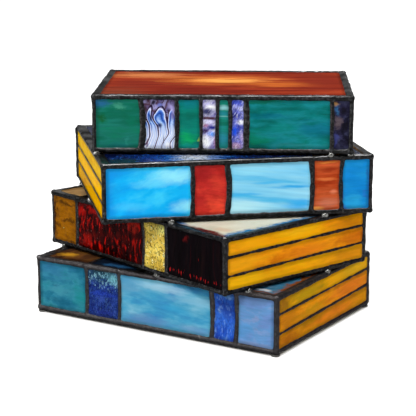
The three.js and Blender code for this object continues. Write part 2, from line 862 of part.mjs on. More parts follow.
// The origin stands under the middle of the stack's outline.
const outline = new THREE.Box3().setFromObject(lamp, true);
const middle = outline.getCenter(new THREE.Vector3());
lamp.position.set(-middle.x, -middle.y, -outline.min.z);

const stack = new THREE.Group();
stack.name = 'stained_glass_book_stack_lamp';
stack.add(lamp);

export default stack;
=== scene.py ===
"""Looks of a table lamp made as a stack of four closed books of stained glass.

Every book is a box of coloured sheet glass. Its edges and seams are hand-run solder beads with a dark patina.
Lengths are millimetres unless a name or a comment says metres, and meshes are in metres.
"""

import json
import logging
import math
from dataclasses import dataclass, field, replace
from enum import Enum
from typing import Callable, Sequence

import bmesh
import bpy
from mathutils import Matrix, Vector, noise


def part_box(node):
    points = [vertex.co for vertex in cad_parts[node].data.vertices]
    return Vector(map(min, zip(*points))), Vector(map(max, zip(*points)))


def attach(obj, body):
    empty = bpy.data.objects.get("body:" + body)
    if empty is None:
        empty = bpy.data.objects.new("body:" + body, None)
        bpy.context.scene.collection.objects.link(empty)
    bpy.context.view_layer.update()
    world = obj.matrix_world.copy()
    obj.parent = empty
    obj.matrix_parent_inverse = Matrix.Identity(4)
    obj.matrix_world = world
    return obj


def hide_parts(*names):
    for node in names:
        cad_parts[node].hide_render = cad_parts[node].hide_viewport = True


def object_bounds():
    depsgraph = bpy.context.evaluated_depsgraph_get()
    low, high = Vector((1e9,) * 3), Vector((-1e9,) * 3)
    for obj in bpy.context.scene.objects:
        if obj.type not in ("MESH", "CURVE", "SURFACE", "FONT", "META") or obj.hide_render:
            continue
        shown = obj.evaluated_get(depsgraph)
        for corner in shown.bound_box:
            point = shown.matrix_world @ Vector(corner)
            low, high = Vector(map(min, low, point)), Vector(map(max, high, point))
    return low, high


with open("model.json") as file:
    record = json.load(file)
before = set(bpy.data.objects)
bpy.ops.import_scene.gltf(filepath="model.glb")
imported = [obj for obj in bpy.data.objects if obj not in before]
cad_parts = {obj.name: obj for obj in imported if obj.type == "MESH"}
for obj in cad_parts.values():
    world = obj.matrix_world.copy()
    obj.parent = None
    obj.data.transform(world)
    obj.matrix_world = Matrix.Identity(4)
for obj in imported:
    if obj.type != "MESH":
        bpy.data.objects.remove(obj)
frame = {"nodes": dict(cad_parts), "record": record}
cad_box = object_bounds()

log = logging.getLogger("book_stack_lamp")

MM = 0.001
TO_METRES = Matrix.Scale(MM, 4)
UP = Vector((0.0, 0.0, 1.0))
ALONG = Vector((1.0, 0.0, 0.0))
ACROSS = Vector((0.0, 1.0, 0.0))
HALF = 0.5
SHARP_FROM = math.radians(50)

# Thickness of the sheet glass.
GLASS = 3.0
# Radii of the beads and the lumps, and the width and rise of the flat bands round a cover.
EDGE_BEAD = 2.6
SEAM_BEAD = 2.4
PAGE_BEAD = 2.1
CORNER_LUMP = 2.9
JOINT_LUMP = 2.6
TACK_LUMP = 3.3
RIM_BAND = 4.6
BAND_RISE = 2.2
# How far glass ends from the corner of the box and from the middle of a seam, and the gap between two books.
CORNER_INSET = GLASS * HALF + 0.3
SEAM_INSET = 0.6
STACK_GAP = 5.8
# Tacks between two books: the least way from one to the next, the grain and depth of their dents, how flat
# they are, and the step from one's dents to the next one's.
TACK_APART = 14
TACK_GRAIN = 1.2
TACK_DENT = 0.16
TACK_SQUASH = 0.95
TACK_STEP = 2.7
# Seed of the lowest book's panes, and the step to the next book's.
FIRST_SEED = 10.0
SEED_STEP = 100
# Makes a share times what is left of it reach one half way.
BULGE = 4.0
# Sockets of a Mix node for colours: the one below, the one laid over it and the outcome.
MIX_BELOW = 6
MIX_OVER = 7
MIX_OUT = 2


def linear(code: str) -> tuple[float, float, float, float]:
    """Turns a colour written as sRGB hex into linear values.

    Args:
        code: Six hex digits with a leading hash.

    Returns:
        Red, green, blue and an alpha of one.
    """
    channels = [int(code[i:i + 2], 16) / 255 for i in (1, 3, 5)]
    low_part, gain, offset, power = 0.04045, 12.92, 0.055, 2.4
    bright = [c / gain if c <= low_part else ((c + offset) / (1 + offset)) ** power for c in channels]
    return bright[0], bright[1], bright[2], 1.0


def bulge(share: float) -> float:
    """How far a bow stands out at a share of the way, as a share of its middle's."""
    return BULGE * share * (1 - share)


def add_node(tree: bpy.types.NodeTree, kind: str, inputs: dict | None = None,
             stops: Sequence[tuple[float, str]] = (), **settings) -> bpy.types.Node:
    """Adds one shader node with its settings, its input values and its links.

    Args:
        tree: The node tree that gets the node.
        kind: Blender's name of the node type.
        inputs: Values by input name or number. A socket is linked, anything else is set.
        stops: Places from 0 to 1 on a colour ramp with their hex colours, in rising order.
        **settings: Properties of the node itself.

    Returns:
        The new node.
    """
    node = tree.nodes.new(kind)
    for name, value in settings.items():
        setattr(node, name, value)
    for key, value in (inputs or {}).items():
        if isinstance(value, bpy.types.NodeSocket):
            tree.links.new(value, node.inputs[key])
        else:
            node.inputs[key].default_value = value
    for i, (place, code) in enumerate(stops):
        elements = node.color_ramp.elements
        element = elements[i] if i < len(elements) else elements.new(1.0)
        element.position = place
        element.color = linear(code)
    return node


def new_material(name: str) -> tuple[bpy.types.Material, bpy.types.NodeTree, bpy.types.NodeSocket]:
    """Starts a node material.

    Args:
        name: The material's name.

    Returns:
        The material, its empty tree with an output node, and the output's surface socket.
    """
    material = bpy.data.materials.new(name)
    material.use_nodes = True
    tree = material.node_tree
    tree.nodes.clear()
    output = add_node(tree, "ShaderNodeOutputMaterial")
    return material, tree, output.inputs["Surface"]


def finish_piece(name: str, mesh: bpy.types.Mesh, material: bpy.types.Material, body: str,
                 nodes: Sequence[str] = (), sharp_from: float = SHARP_FROM) -> bpy.types.Object:
    """Makes the finished object of a mesh, dresses it and ties it to the frame.

    Args:
        name: The piece's name.
        mesh: Its mesh in metres, in place.
        material: Its finish.
        body: The body that it rides on.
        nodes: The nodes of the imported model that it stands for.
        sharp_from: The turn, in radians, from which an edge keeps its crease.

    Returns:
        The new object.
    """
    piece = bpy.data.objects.new(name, mesh)
    bpy.context.scene.collection.objects.link(piece)
    mesh.materials.clear()
    mesh.materials.append(material)
    mesh.shade_smooth()
    mesh.set_sharp_from_angle(angle=sharp_from)
    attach(piece, body)
    if nodes:
        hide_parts(*nodes)
    log.info("%s: %d faces", name, len(mesh.polygons))
    return piece


def fused(mesh: bpy.types.Mesh, voxel: float, rounds: int) -> bpy.types.Mesh:
    """Melts overlapping closed shapes into one skin, as solder flows together, and smooths it.

    Args:
        mesh: The overlapping shapes, in metres. It is used up.
        voxel: The size of the remesh cells, in metres.
        rounds: How many times the skin is smoothed.

    Returns:
        The fused mesh.
    """
    holder = bpy.data.objects.new("melting", mesh)
    bpy.context.scene.collection.objects.link(holder)
    remesh = holder.modifiers.new("melt", "REMESH")
    remesh.mode = "VOXEL"
    remesh.voxel_size = voxel
    smooth = holder.modifiers.new("settle", "SMOOTH")
    smooth.factor = HALF
    smooth.iterations = rounds
    settled = holder.evaluated_get(bpy.context.evaluated_depsgraph_get())
    result = bpy.data.meshes.new_from_object(settled)
    bpy.data.objects.remove(holder)
    bpy.data.meshes.remove(mesh)
    return result


class Side(Enum):
    """The faces of a closed book. Its pages show on three of them."""

    SPINE = "spine"
    RIGHT = "right"
    BACK = "back"
    LEFT = "left"
    COVER = "cover"


@dataclass(frozen=True)
class Face:
    """A face of a book, with a drawing plane whose x runs along it, y up it and z out of it."""

    span: float
    rise: float
    matrix: Matrix


@dataclass(frozen=True)
class Book:
    """The plan of one book: its box, where its seams run and how they bow."""

    name: str
    length: float
    width: float
    height: float
    turn: float
    seams: tuple[float, ...]
    bows: tuple[float, ...]
    pages: tuple[tuple[float, float], ...]
    cover_cuts: tuple[tuple[float, float], ...]
    spreads: tuple[float, ...]
    end_bands: tuple[float, float] = (4.6, 4.6)
    near_beads: tuple[float, float] = (2.2, 2.75)
    far_bead: float = 3.2
    wiped: float = 0.25
    worn: bool = False
    notched: bool = False

    def place(self) -> Matrix:
        """Where the book stands.

        Returns:
            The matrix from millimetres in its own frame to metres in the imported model's.
        """
        low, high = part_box(f"{self.name}_solder_frame")
        glass_low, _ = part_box(f"{self.name}_pages_left")
        middle = (low + high) * HALF
        middle.z = glass_low.z - CORNER_INSET * MM
        return Matrix.Translation(middle) @ Matrix.Rotation(math.radians(self.turn), 4, "Z") @ TO_METRES

    def corners(self) -> list[Vector]:
        """The four corners of the box, seen from above, against the clock from the front left."""
        u, w = self.length * HALF, self.width * HALF
        return [Vector((-u, -w, 0)), Vector((u, -w, 0)), Vector((u, w, 0)), Vector((-u, w, 0))]

    def face(self, side: Side) -> Face:
        """The drawing plane of one face.

        Args:
            side: The face.

        Returns:
            Its size and its plane in the book's own frame.
        """
        u, w = self.length * HALF, self.width * HALF
        plans = {
            Side.SPINE: (self.length, self.height, ALONG, UP, Vector((-u, -w, 0))),
            Side.RIGHT: (self.width, self.height, ACROSS, UP, Vector((u, -w, 0))),
            Side.BACK: (self.length, self.height, -ALONG, UP, Vector((u, w, 0))),
            Side.LEFT: (self.width, self.height, -ACROSS, UP, Vector((-u, w, 0))),
            Side.COVER: (self.length, self.width, ALONG, ACROSS, Vector((-u, -w, self.height))),
        }
        span, rise, right, up, start = plans[side]
        turned = Matrix((right, up, right.cross(up))).transposed().to_4x4()
        return Face(span, rise, Matrix.Translation(start) @ turned)


class Relief(Enum):
    """How the sheet was rolled: grid pitch, wave height, and the size of a wave along and up the pane."""

    CALM = (4.0, 0.10, 16.0, 12.0)
    RIPPLED = (1.3, 0.42, 3.6, 11.0)
    HAMMERED = (0.9, 0.26, 2.3, 2.3)
    GRANITE = (0.9, 0.20, 1.7, 1.7)
    STREAKY = (2.0, 0.10, 40.0, 4.0)

    def height(self, x: float, y: float, seed: float) -> float:
        """How far the surface stands out at a point of the pane.

        Args:
            x: Distance along the pane.
            y: Distance up the pane.
            seed: Moves the pattern, so that no two panes are alike.

        Returns:
            The height over the sheet's mean surface.
        """
        _, depth, long, tall = self.value
        return depth * noise.noise(Vector((x / long + seed, y / tall - seed, seed)))


@dataclass(frozen=True)
class Outline:
    """A pane's outline in its face's plane. Left and right edges may bow, low and high edges may slope."""

    left: float
    right: float
    low: tuple[float, float]
    high: tuple[float, float]
    bow_left: float = 0.0
    bow_right: float = 0.0

    def point(self, s: float, t: float) -> tuple[float, float]:
        """A point of the pane.

        Args:
            s: Share of the way from its left edge to its right edge.
            t: Share of the way from its low edge to its high edge.

        Returns:
            The point's x and y in the face's plane.
        """
        swell = bulge(t)
        left, right = self.left + self.bow_left * swell, self.right + self.bow_right * swell
        low = self.low[0] + (self.low[1] - self.low[0]) * s
        high = self.high[0] + (self.high[1] - self.high[0]) * s
        return left + (right - left) * s, low + (high - low) * t


@dataclass(frozen=True)
class Patch:
    """A cloud of another colour in a pane: its middle and its half sizes as shares of the pane."""

    along: float
    up: float
    half_length: float
    half_height: float
    colour: str
    strength: float = 1.0


@dataclass(frozen=True)
class ArtGlass:
    """Machine-rolled opalescent sheet glass. The eye sees milky wisps under a clear, fire-polished skin."""

    palette: tuple[str, ...]
    wisp: tuple[float, float] = (30.0, 8.0)
    patches: tuple[Patch, ...] = ()
    relief: Relief = Relief.CALM
    slot: str = "glass_teal"
    warp: float = 3.0
    slant: float = 0.0
    gloss: float = 0.05
    bump: float = 0.12
    streaks: float = 0.14
    spread: tuple[float, float] = (0.35, 0.65)
    ragged: float = 1.6

    PROCESS = "rolled_opalescent_glass"
    # The darker rim, painted shade along the solder over the foil seen through the glass: where it starts and
    # ends, how round its corners are, and its tone at the foil.
    RIM_FROM = 0.6
    RIM = 4.0
    RIM_ROUND = 1.5
    RIM_SHADE = 0.62
    # Length and height of feathers and threads as shares of a wisp, and the noise that a thread's tones span.
    FEATHER_SHARES = (0.45, 0.2)
    THREAD_SHARES = (0.7, 0.22)
    THREAD_SPAN = (0.3, 0.7)
    # Eddies of the molten sheet, and how far they drag it as shares of the warp.
    EDDY = 28.0
    EDDY_REACH_SHARES = (5.0, 2.5)
    TORN_EDDY = 11.0
    TORN_REACH_SHARES = (8.0, 3.0)
    # The share of a patch that is full, and the length and height of the skin's slow waves.
    PATCH_CORE = 0.15
    WAVE = (7.0, 5.0)

    def coordinates(self, tree: bpy.types.NodeTree, plane: Matrix) -> bpy.types.NodeSocket:
        """Millimetres in the pane's own plane, from its lower left corner.

        Args:
            tree: The material's node tree.
            plane: The pane's plane, from millimetres to metres.

        Returns:
            The vector socket.
        """
        where = add_node(tree, "ShaderNodeTexCoord")
        turn = plane.to_quaternion().to_euler()
        mapping = add_node(tree, "ShaderNodeMapping", {
            "Vector": where.outputs["Object"],
            "Location": plane.to_translation(), "Rotation": turn, "Scale": (MM, MM, MM),
        }, vector_type="TEXTURE")
        return mapping.outputs["Vector"]

    def dragged(self, tree: bpy.types.NodeTree, place: bpy.types.NodeSocket, seed: float, grain: float,
                reach: tuple[float, float], detail: float) -> bpy.types.NodeSocket:
        """The same coordinates, shifted about as molten glass is dragged by the rollers.

        Args:
            tree: The material's node tree.
            place: Coordinates in millimetres.
            seed: Picks the pattern.
            grain: The size of the eddies.
            reach: How far they drag along and up the sheet.
            detail: Octaves of finer eddies.

        Returns:
            The new vector socket.
        """
        drag = add_node(tree, "ShaderNodeTexNoise", {
            "Vector": place, "W": seed, "Scale": 1 / grain, "Detail": detail, "Roughness": 0.6,
        }, noise_dimensions="4D")
        centred = add_node(tree, "ShaderNodeVectorMath", {0: drag.outputs["Color"], 1: (HALF,) * 3},
                           operation="SUBTRACT")
        pulled = add_node(tree, "ShaderNodeVectorMath", {0: centred.outputs[0], 1: (*reach, 0.0)},
                          operation="MULTIPLY")
        moved = add_node(tree, "ShaderNodeVectorMath", {0: place, 1: pulled.outputs[0]}, operation="ADD")
        return moved.outputs[0]

    def stretched(self, tree: bpy.types.NodeTree, place: bpy.types.NodeSocket, size: tuple[float, float],
                  seed: float, detail: float = 4.0, rough: float = 0.55) -> bpy.types.NodeSocket:
        """Noise whose grain has a given length and height.

        Args:
            tree: The material's node tree.
            place: Coordinates in millimetres.
            size: Length and height of the grain.
            seed: Picks the pattern.
            detail: Octaves of the noise.
            rough: How strong the fine octaves are.

        Returns:
            The noise's value socket, from 0 to 1.
        """
        turned = add_node(tree, "ShaderNodeMapping", {
            "Vector": place, "Rotation": (0.0, 0.0, math.radians(self.slant)),
        })
        scaled = add_node(tree, "ShaderNodeMapping", {
            "Vector": turned.outputs["Vector"], "Scale": (1 / size[0], 1 / size[1], 1 / size[1]),
        })
        grain = add_node(tree, "ShaderNodeTexNoise", {
            "Vector": scaled.outputs["Vector"], "W": seed, "Scale": 1.0, "Detail": detail, "Roughness": rough,
        }, noise_dimensions="4D")
        return grain.outputs["Fac"]

    def clouded(self, tree: bpy.types.NodeTree, place: bpy.types.NodeSocket, colour: bpy.types.NodeSocket,
                size: tuple[float, float], seed: float) -> bpy.types.NodeSocket:
        """Lays the pane's patches over its wisps, feathered along the streaks.

        Args:
            tree: The material's node tree.
            place: Warped coordinates in millimetres.
            colour: The colour so far.
            size: The pane's length and height.
            seed: Picks the pattern.

        Returns:
            The new colour socket.
        """
        long, tall = self.FEATHER_SHARES
        feather = self.stretched(tree, place, (self.wisp[0] * long, self.wisp[1] * tall), seed + 31, 5.0,
                                 0.62)
        for patch in self.patches:
            middle = (patch.along * size[0], patch.up * size[1], 0.0)
            reach = (1 / (patch.half_length * size[0]), 1 / (patch.half_height * size[1]), 0.0)
            away = add_node(tree, "ShaderNodeVectorMath", {0: place, 1: middle}, operation="SUBTRACT")
            shaped = add_node(tree, "ShaderNodeVectorMath", {0: away.outputs[0], 1: reach},
                              operation="MULTIPLY")
            far = add_node(tree, "ShaderNodeVectorMath", {0: shaped.outputs[0]}, operation="LENGTH")
            ragged = add_node(tree, "ShaderNodeMath", {0: feather, 1: self.ragged, 2: far.outputs["Value"]},
                              operation="MULTIPLY_ADD")
            cover = add_node(tree, "ShaderNodeMapRange", {
                "Value": ragged.outputs[0], "From Min": self.PATCH_CORE + self.ragged * HALF,
                "From Max": 1.0 + self.ragged * HALF, "To Min": patch.strength, "To Max": 0.0,
            }, interpolation_type="SMOOTHSTEP")
            colour = add_node(tree, "ShaderNodeMix", {
                0: cover.outputs["Result"], MIX_BELOW: colour, MIX_OVER: linear(patch.colour),
            }, data_type="RGBA").outputs[MIX_OUT]
        return colour

    def streaked(self, tree: bpy.types.NodeTree, place: bpy.types.NodeSocket, colour: bpy.types.NodeSocket,
                 seed: float) -> bpy.types.NodeSocket:
        """Draws the fine light and dark threads that rolling leaves along the sheet.

        Args:
            tree: The material's node tree.
            place: Warped coordinates in millimetres.
            colour: The colour so far.
            seed: Picks the pattern.

        Returns:
            The new colour socket.
        """
        long, tall = self.THREAD_SHARES
        threads = self.stretched(tree, place, (self.wisp[0] * long, self.wisp[1] * tall), seed + 21, 5.0, 0.6)
        tone = add_node(tree, "ShaderNodeMapRange", {
            "Value": threads, "From Min": self.THREAD_SPAN[0], "From Max": self.THREAD_SPAN[1],
            "To Min": 1 - self.streaks, "To Max": 1 + self.streaks,
        })
        toned = add_node(tree, "ShaderNodeVectorMath", {0: colour, "Scale": tone.outputs["Result"]},
                         operation="SCALE")
        return toned.outputs[0]

    def shaded_rim(self, tree: bpy.types.NodeTree, place: bpy.types.NodeSocket, colour: bpy.types.NodeSocket,
               size: tuple[float, float], bows: tuple[float, float]) -> bpy.types.NodeSocket:
        """Darkens the glass along its edges: painted shade along the solder, together with the foil that
        backs it.

        Args:
            tree: The material's node tree.
            place: Coordinates in millimetres.
            colour: The colour so far.
            size: The pane's length and height.
            bows: How far its left and right edges bow to the right.

        Returns:
            The new colour socket.
        """
        split = add_node(tree, "ShaderNodeSeparateXYZ", {"Vector": place})
        across, up = split.outputs["X"], split.outputs["Y"]
        share = add_node(tree, "ShaderNodeMath", {0: up, 1: 1 / size[1]}, operation="MULTIPLY")
        left_over = add_node(tree, "ShaderNodeMath", {0: 1.0, 1: share.outputs[0]}, operation="SUBTRACT")
        swell = add_node(tree, "ShaderNodeMath", {0: share.outputs[0], 1: left_over.outputs[0]},
                         operation="MULTIPLY")
        left = add_node(tree, "ShaderNodeMath", {0: swell.outputs[0], 1: -BULGE * bows[0], 2: across},
                        operation="MULTIPLY_ADD")
        reach = add_node(tree, "ShaderNodeMath", {0: swell.outputs[0], 1: BULGE * bows[1], 2: size[0]},
                         operation="MULTIPLY_ADD")
        right = add_node(tree, "ShaderNodeMath", {0: reach.outputs[0], 1: across}, operation="SUBTRACT")
        upper = add_node(tree, "ShaderNodeMath", {0: size[1], 1: up}, operation="SUBTRACT")
        aside = add_node(tree, "ShaderNodeMath", {0: left.outputs[0], 1: right.outputs[0]},
                         operation="MINIMUM")
        level = add_node(tree, "ShaderNodeMath", {0: up, 1: upper.outputs[0]}, operation="MINIMUM")
        inward = add_node(tree, "ShaderNodeMath", {
            0: aside.outputs[0], 1: level.outputs[0], 2: self.RIM_ROUND,
        }, operation="SMOOTH_MIN")
        tone = add_node(tree, "ShaderNodeMapRange", {
            "Value": inward.outputs[0], "From Min": self.RIM_FROM, "From Max": self.RIM,
            "To Min": self.RIM_SHADE, "To Max": 1.0,
        }, interpolation_type="SMOOTHSTEP")
        toned = add_node(tree, "ShaderNodeVectorMath", {0: colour, "Scale": tone.outputs["Result"]},
                         operation="SCALE")
        return toned.outputs[0]

    def figure(self, tree: bpy.types.NodeTree, place: bpy.types.NodeSocket, colour: bpy.types.NodeSocket,
               size: tuple[float, float], seed: float) -> tuple[bpy.types.NodeSocket, bpy.types.NodeSocket]:
        """Adds what is special to the kind of sheet.

        Args:
            tree: The material's node tree.
            place: Warped coordinates in millimetres.
            colour: The colour so far.
            size: The pane's length and height. Not used here.
            seed: Picks the pattern.

        Returns:
            The colour socket and the height socket for the bump.
        """
        return colour, self.stretched(tree, place, self.WAVE, seed + 7)

    def material(self, name: str, plane: Matrix, size: tuple[float, float], bows: tuple[float, float],
                 seed: float) -> bpy.types.Material:
        """Builds the pane's material.

        Args:
            name: The pane's name.
            plane: The pane's plane, from millimetres to metres.
            size: The pane's length and height.
            bows: How far its left and right edges bow to the right.
            seed: Picks the pattern.

        Returns:
            The material.
        """
        material, tree, surface = new_material(f"{name}_{self.PROCESS}")
        place = self.coordinates(tree, plane)
        long, tall = self.EDDY_REACH_SHARES
        drawn = self.dragged(tree, place, seed, self.EDDY, (self.warp * long, self.warp * tall), 1.0)
        long, tall = self.TORN_REACH_SHARES
        torn = self.dragged(tree, place, seed + 1, self.TORN_EDDY, (self.warp * long, self.warp * tall), 4.0)
        wisps = self.stretched(tree, drawn, self.wisp, seed)
        low, high = self.spread
        step = (high - low) / max(1, len(self.palette) - 1)
        stops = [(low + i * step, code) for i, code in enumerate(self.palette)]
        sheet = add_node(tree, "ShaderNodeValToRGB", {"Fac": wisps}, stops)
        colour = self.clouded(tree, torn, sheet.outputs["Color"], size, seed)
        colour = self.streaked(tree, drawn, colour, seed)
        colour, height = self.figure(tree, drawn, colour, size, seed)
        # Painted shade along the solder at the rim.
        colour = self.shaded_rim(tree, place, colour, size, bows)
        bump = add_node(tree, "ShaderNodeBump", {
            "Height": height, "Distance": self.bump * MM, "Strength": 1.0,
        })
        shader = add_node(tree, "ShaderNodeBsdfPrincipled", {
            "Base Color": colour, "Roughness": 0.5, "Specular IOR Level": 0.0, "Coat Weight": self.gloss,
            "Coat Roughness": 0.05, "Normal": bump.outputs["Normal"], "Coat Normal": bump.outputs["Normal"],
        })
        tree.links.new(shader.outputs["BSDF"], surface)
        return material


@dataclass(frozen=True)
class WaveGlass(ArtGlass):
    """Ripple glass: upright tongues with rounded tops, banded like agate, under a dark mottled crown."""

    bands: tuple[tuple[float, str], ...] = (
        (0.0, "#150e20"), (0.24, "#2a1a34"), (0.32, "#8a82c0"), (0.4, "#f4f6ff"), (0.5, "#8fb4ee"),
        (0.64, "#2f66cc"), (0.78, "#1f3a90"), (0.9, "#5f92e0"), (1.0, "#b4cef4"))
    foot: tuple[tuple[float, str], ...] = (
        (0.0, "#2a1830"), (0.14, "#5c4060"), (0.24, "#aab8e6"), (0.36, "#fdfeff"), (0.54, "#dce6fa"),
        (0.68, "#6f9ae6"), (0.8, "#fafcff"), (1.0, "#ccdaf7"))
    crown: tuple[str, ...] = ("#120c1c", "#3a2a46", "#6a6294", "#48282e", "#9c98cc", "#2a2044")
    flame: float = 10.0
    shift: float = 0.0
    shoulder: float = 0.5
    arch: float = 0.3
    sway: float = 5.0
    lean: float = 0.0
    grit: float = 0.1

    PROCESS = "rolled_ripple_glass"
    # Eddies that bend the tongues, and how far they drag them as shares of the sway.
    BEND = 17.0
    BEND_REACH_SHARES = (2.8, 2.0)
    # How pointed an arch is, and how soft its line is.
    ARCH_POWER = 2.5
    ARCH_BLUR = 0.06
    # Where the foot's bands begin and are full, measured from the shoulder.
    FOOT_BLUR = (0.05, -0.25)
    # Length and height of the grit, and the size and tones of the mottle over the arches.
    GRIT = (1.3, 1.6)
    MOTTLE = 8.0
    MOTTLE_FROM = 0.3
    MOTTLE_STEP = 0.08

    def figure(self, tree: bpy.types.NodeTree, place: bpy.types.NodeSocket, colour: bpy.types.NodeSocket,
               size: tuple[float, float], seed: float) -> tuple[bpy.types.NodeSocket, bpy.types.NodeSocket]:
        """Draws the tongues side by side, each one closed by an arch.

        Args:
            tree: The material's node tree.
            place: Warped coordinates in millimetres.
            colour: The colour so far.
            size: The pane's length and height.
            seed: Picks the pattern.

        Returns:
            The colour socket and the height socket for the bump.
        """
        long, tall = self.BEND_REACH_SHARES
        bent = self.dragged(tree, place, seed + 2, self.BEND, (self.sway * long, self.sway * tall), 0.6)
        split = add_node(tree, "ShaderNodeSeparateXYZ", {"Vector": bent})
        across, up = split.outputs["X"], split.outputs["Y"]
        upright = add_node(tree, "ShaderNodeMath", {0: up, 1: -self.lean, 2: across},
                           operation="MULTIPLY_ADD")
        phase = add_node(tree, "ShaderNodeMath", {
            0: upright.outputs[0], 1: math.pi / self.flame, 2: self.shift,
        }, operation="MULTIPLY_ADD")
        sine = add_node(tree, "ShaderNodeMath", {0: phase.outputs[0]}, operation="SINE")
        wave = add_node(tree, "ShaderNodeMath", {0: sine.outputs[0]}, operation="ABSOLUTE")
        level = add_node(tree, "ShaderNodeMath", {0: up, 1: 1 / size[1]}, operation="MULTIPLY")
        over = add_node(tree, "ShaderNodeMapRange", {
            "Value": level.outputs[0], "From Min": self.shoulder, "From Max": self.shoulder + self.arch,
        })
        arch = add_node(tree, "ShaderNodeMath", {0: over.outputs["Result"], 1: self.ARCH_POWER},
                        operation="POWER")
        inside = add_node(tree, "ShaderNodeMath", {0: wave.outputs[0], 1: arch.outputs[0]},
                          operation="SUBTRACT")
        grit = self.stretched(tree, place, self.GRIT, seed + 13, 3.0, 0.7)
        rough = add_node(tree, "ShaderNodeMath", {0: grit, 1: -HALF}, operation="ADD")
        depth = add_node(tree, "ShaderNodeMath", {
            0: rough.outputs[0], 1: self.grit * 2, 2: inside.outputs[0],
        }, operation="MULTIPLY_ADD")
        banded = add_node(tree, "ShaderNodeValToRGB", {"Fac": depth.outputs[0]}, self.bands)
        footed = add_node(tree, "ShaderNodeValToRGB", {"Fac": depth.outputs[0]}, self.foot)
        begin, full = self.FOOT_BLUR
        low = add_node(tree, "ShaderNodeMapRange", {
            "Value": level.outputs[0], "From Min": self.shoulder + begin, "From Max": self.shoulder + full,
        }, interpolation_type="SMOOTHSTEP")
        tongues = add_node(tree, "ShaderNodeMix", {
            0: low.outputs["Result"], MIX_BELOW: banded.outputs["Color"], MIX_OVER: footed.outputs["Color"],
        }, data_type="RGBA")
        mottle = self.stretched(tree, bent, (self.MOTTLE, self.MOTTLE), seed + 19, 1.5, 0.4)
        steps = [(self.MOTTLE_FROM + self.MOTTLE_STEP * i, code) for i, code in enumerate(self.crown)]
        crown = add_node(tree, "ShaderNodeValToRGB", {"Fac": mottle}, steps)
        beyond = add_node(tree, "ShaderNodeMapRange", {
            "Value": inside.outputs[0], "From Min": self.ARCH_BLUR, "From Max": -self.ARCH_BLUR,
        }, interpolation_type="SMOOTHSTEP")
        drawn = add_node(tree, "ShaderNodeMix", {
            0: beyond.outputs["Result"],
            MIX_BELOW: tongues.outputs[MIX_OUT], MIX_OVER: crown.outputs["Color"],
        }, data_type="RGBA")
        return self.clouded(tree, place, drawn.outputs[MIX_OUT], size, seed), wave.outputs[0]


@dataclass(frozen=True)
class HammeredGlass(ArtGlass):
    """Hammered glass: a skin of small round dimples, with painted shade along their rims as dark creases and
    painted highlights as bright sparks.
    """

    # The colour of the painted shade along the dimples' rims and that of the painted highlights between them;
    # further down, how strongly each is laid on and where the highlights begin.
    crease_shade: str = "#5c4a10"
    highlight_paint: str = "#f8eb98"
    dimple: float = 2.4
    crease_shade_strength: float = 0.75
    highlight_paint_strength: float = 0.7
    highlight_paint_from: float = 0.56
    highlight_paint_soft: float = 0.12
    tall: float = 1.2
    lit_from: float | None = None

    PROCESS = "hammered_sheet_glass"
    # How far the painted shade of a crease reaches from its line in the noise, and the length of a painted
    # highlight as a share of a dimple's.
    CREASE_SHADE_REACH = 0.05
    GLINT_SHARE = 0.8
    # Where the painted highlights fade in, measured from the lit part's foot, and how strong they stay under
    # it.
    LIT_BLUR = (-0.08, 0.12)
    UNLIT = 0.1

    def figure(self, tree: bpy.types.NodeTree, place: bpy.types.NodeSocket, colour: bpy.types.NodeSocket,
               size: tuple[float, float], seed: float) -> tuple[bpy.types.NodeSocket, bpy.types.NodeSocket]:
        """Paints shade along the creases, the zero lines of a smooth noise, and highlights as sparks between
        them.

        Args:
            tree: The material's node tree.
            place: Warped coordinates in millimetres.
            colour: The colour so far.
            size: The pane's length and height.
            seed: Picks the pattern.

        Returns:
            The colour socket and the height socket for the bump.
        """
        grain = (self.dimple, self.dimple * self.tall)
        swell = self.stretched(tree, place, grain, seed + 5, 1.0)
        centred = add_node(tree, "ShaderNodeMath", {0: swell, 1: -HALF}, operation="ADD")
        away = add_node(tree, "ShaderNodeMath", {0: centred.outputs[0]}, operation="ABSOLUTE")
        # Painted shade along the rims of the dimples.
        crease_shade = add_node(tree, "ShaderNodeMapRange", {
            "Value": away.outputs[0], "From Min": self.CREASE_SHADE_REACH, "From Max": 0.0,
            "To Max": self.crease_shade_strength,
        }, interpolation_type="SMOOTHSTEP")
        # Painted highlights between the creases.
        glint = self.stretched(tree, place, (self.dimple * self.GLINT_SHARE, self.dimple * self.tall),
                               seed + 11, 2.0)
        highlight_paint = add_node(tree, "ShaderNodeMapRange", {
            "Value": glint, "From Min": self.highlight_paint_from, "From Max": self.highlight_paint_from + self.highlight_paint_soft,
            "To Max": self.highlight_paint_strength,
        }, interpolation_type="SMOOTHSTEP")
        share = highlight_paint.outputs["Result"]
        if self.lit_from is not None:
            split = add_node(tree, "ShaderNodeSeparateXYZ", {"Vector": place})
            below, above = self.LIT_BLUR
            upper = add_node(tree, "ShaderNodeMapRange", {
                "Value": split.outputs["Y"], "From Min": (self.lit_from + below) * size[1],
                "From Max": (self.lit_from + above) * size[1], "To Min": self.UNLIT,
            }, interpolation_type="SMOOTHSTEP")
            share = add_node(tree, "ShaderNodeMath", {0: share, 1: upper.outputs["Result"]},
                             operation="MULTIPLY").outputs[0]
        highlight_painted = add_node(tree, "ShaderNodeMix", {
            0: share, MIX_BELOW: colour, MIX_OVER: linear(self.highlight_paint),
        }, data_type="RGBA")
        crease_shaded = add_node(tree, "ShaderNodeMix", {
            0: crease_shade.outputs["Result"], MIX_BELOW: highlight_painted.outputs[MIX_OUT], MIX_OVER: linear(self.crease_shade),
        }, data_type="RGBA")
        return crease_shaded.outputs[MIX_OUT], away.outputs[0]


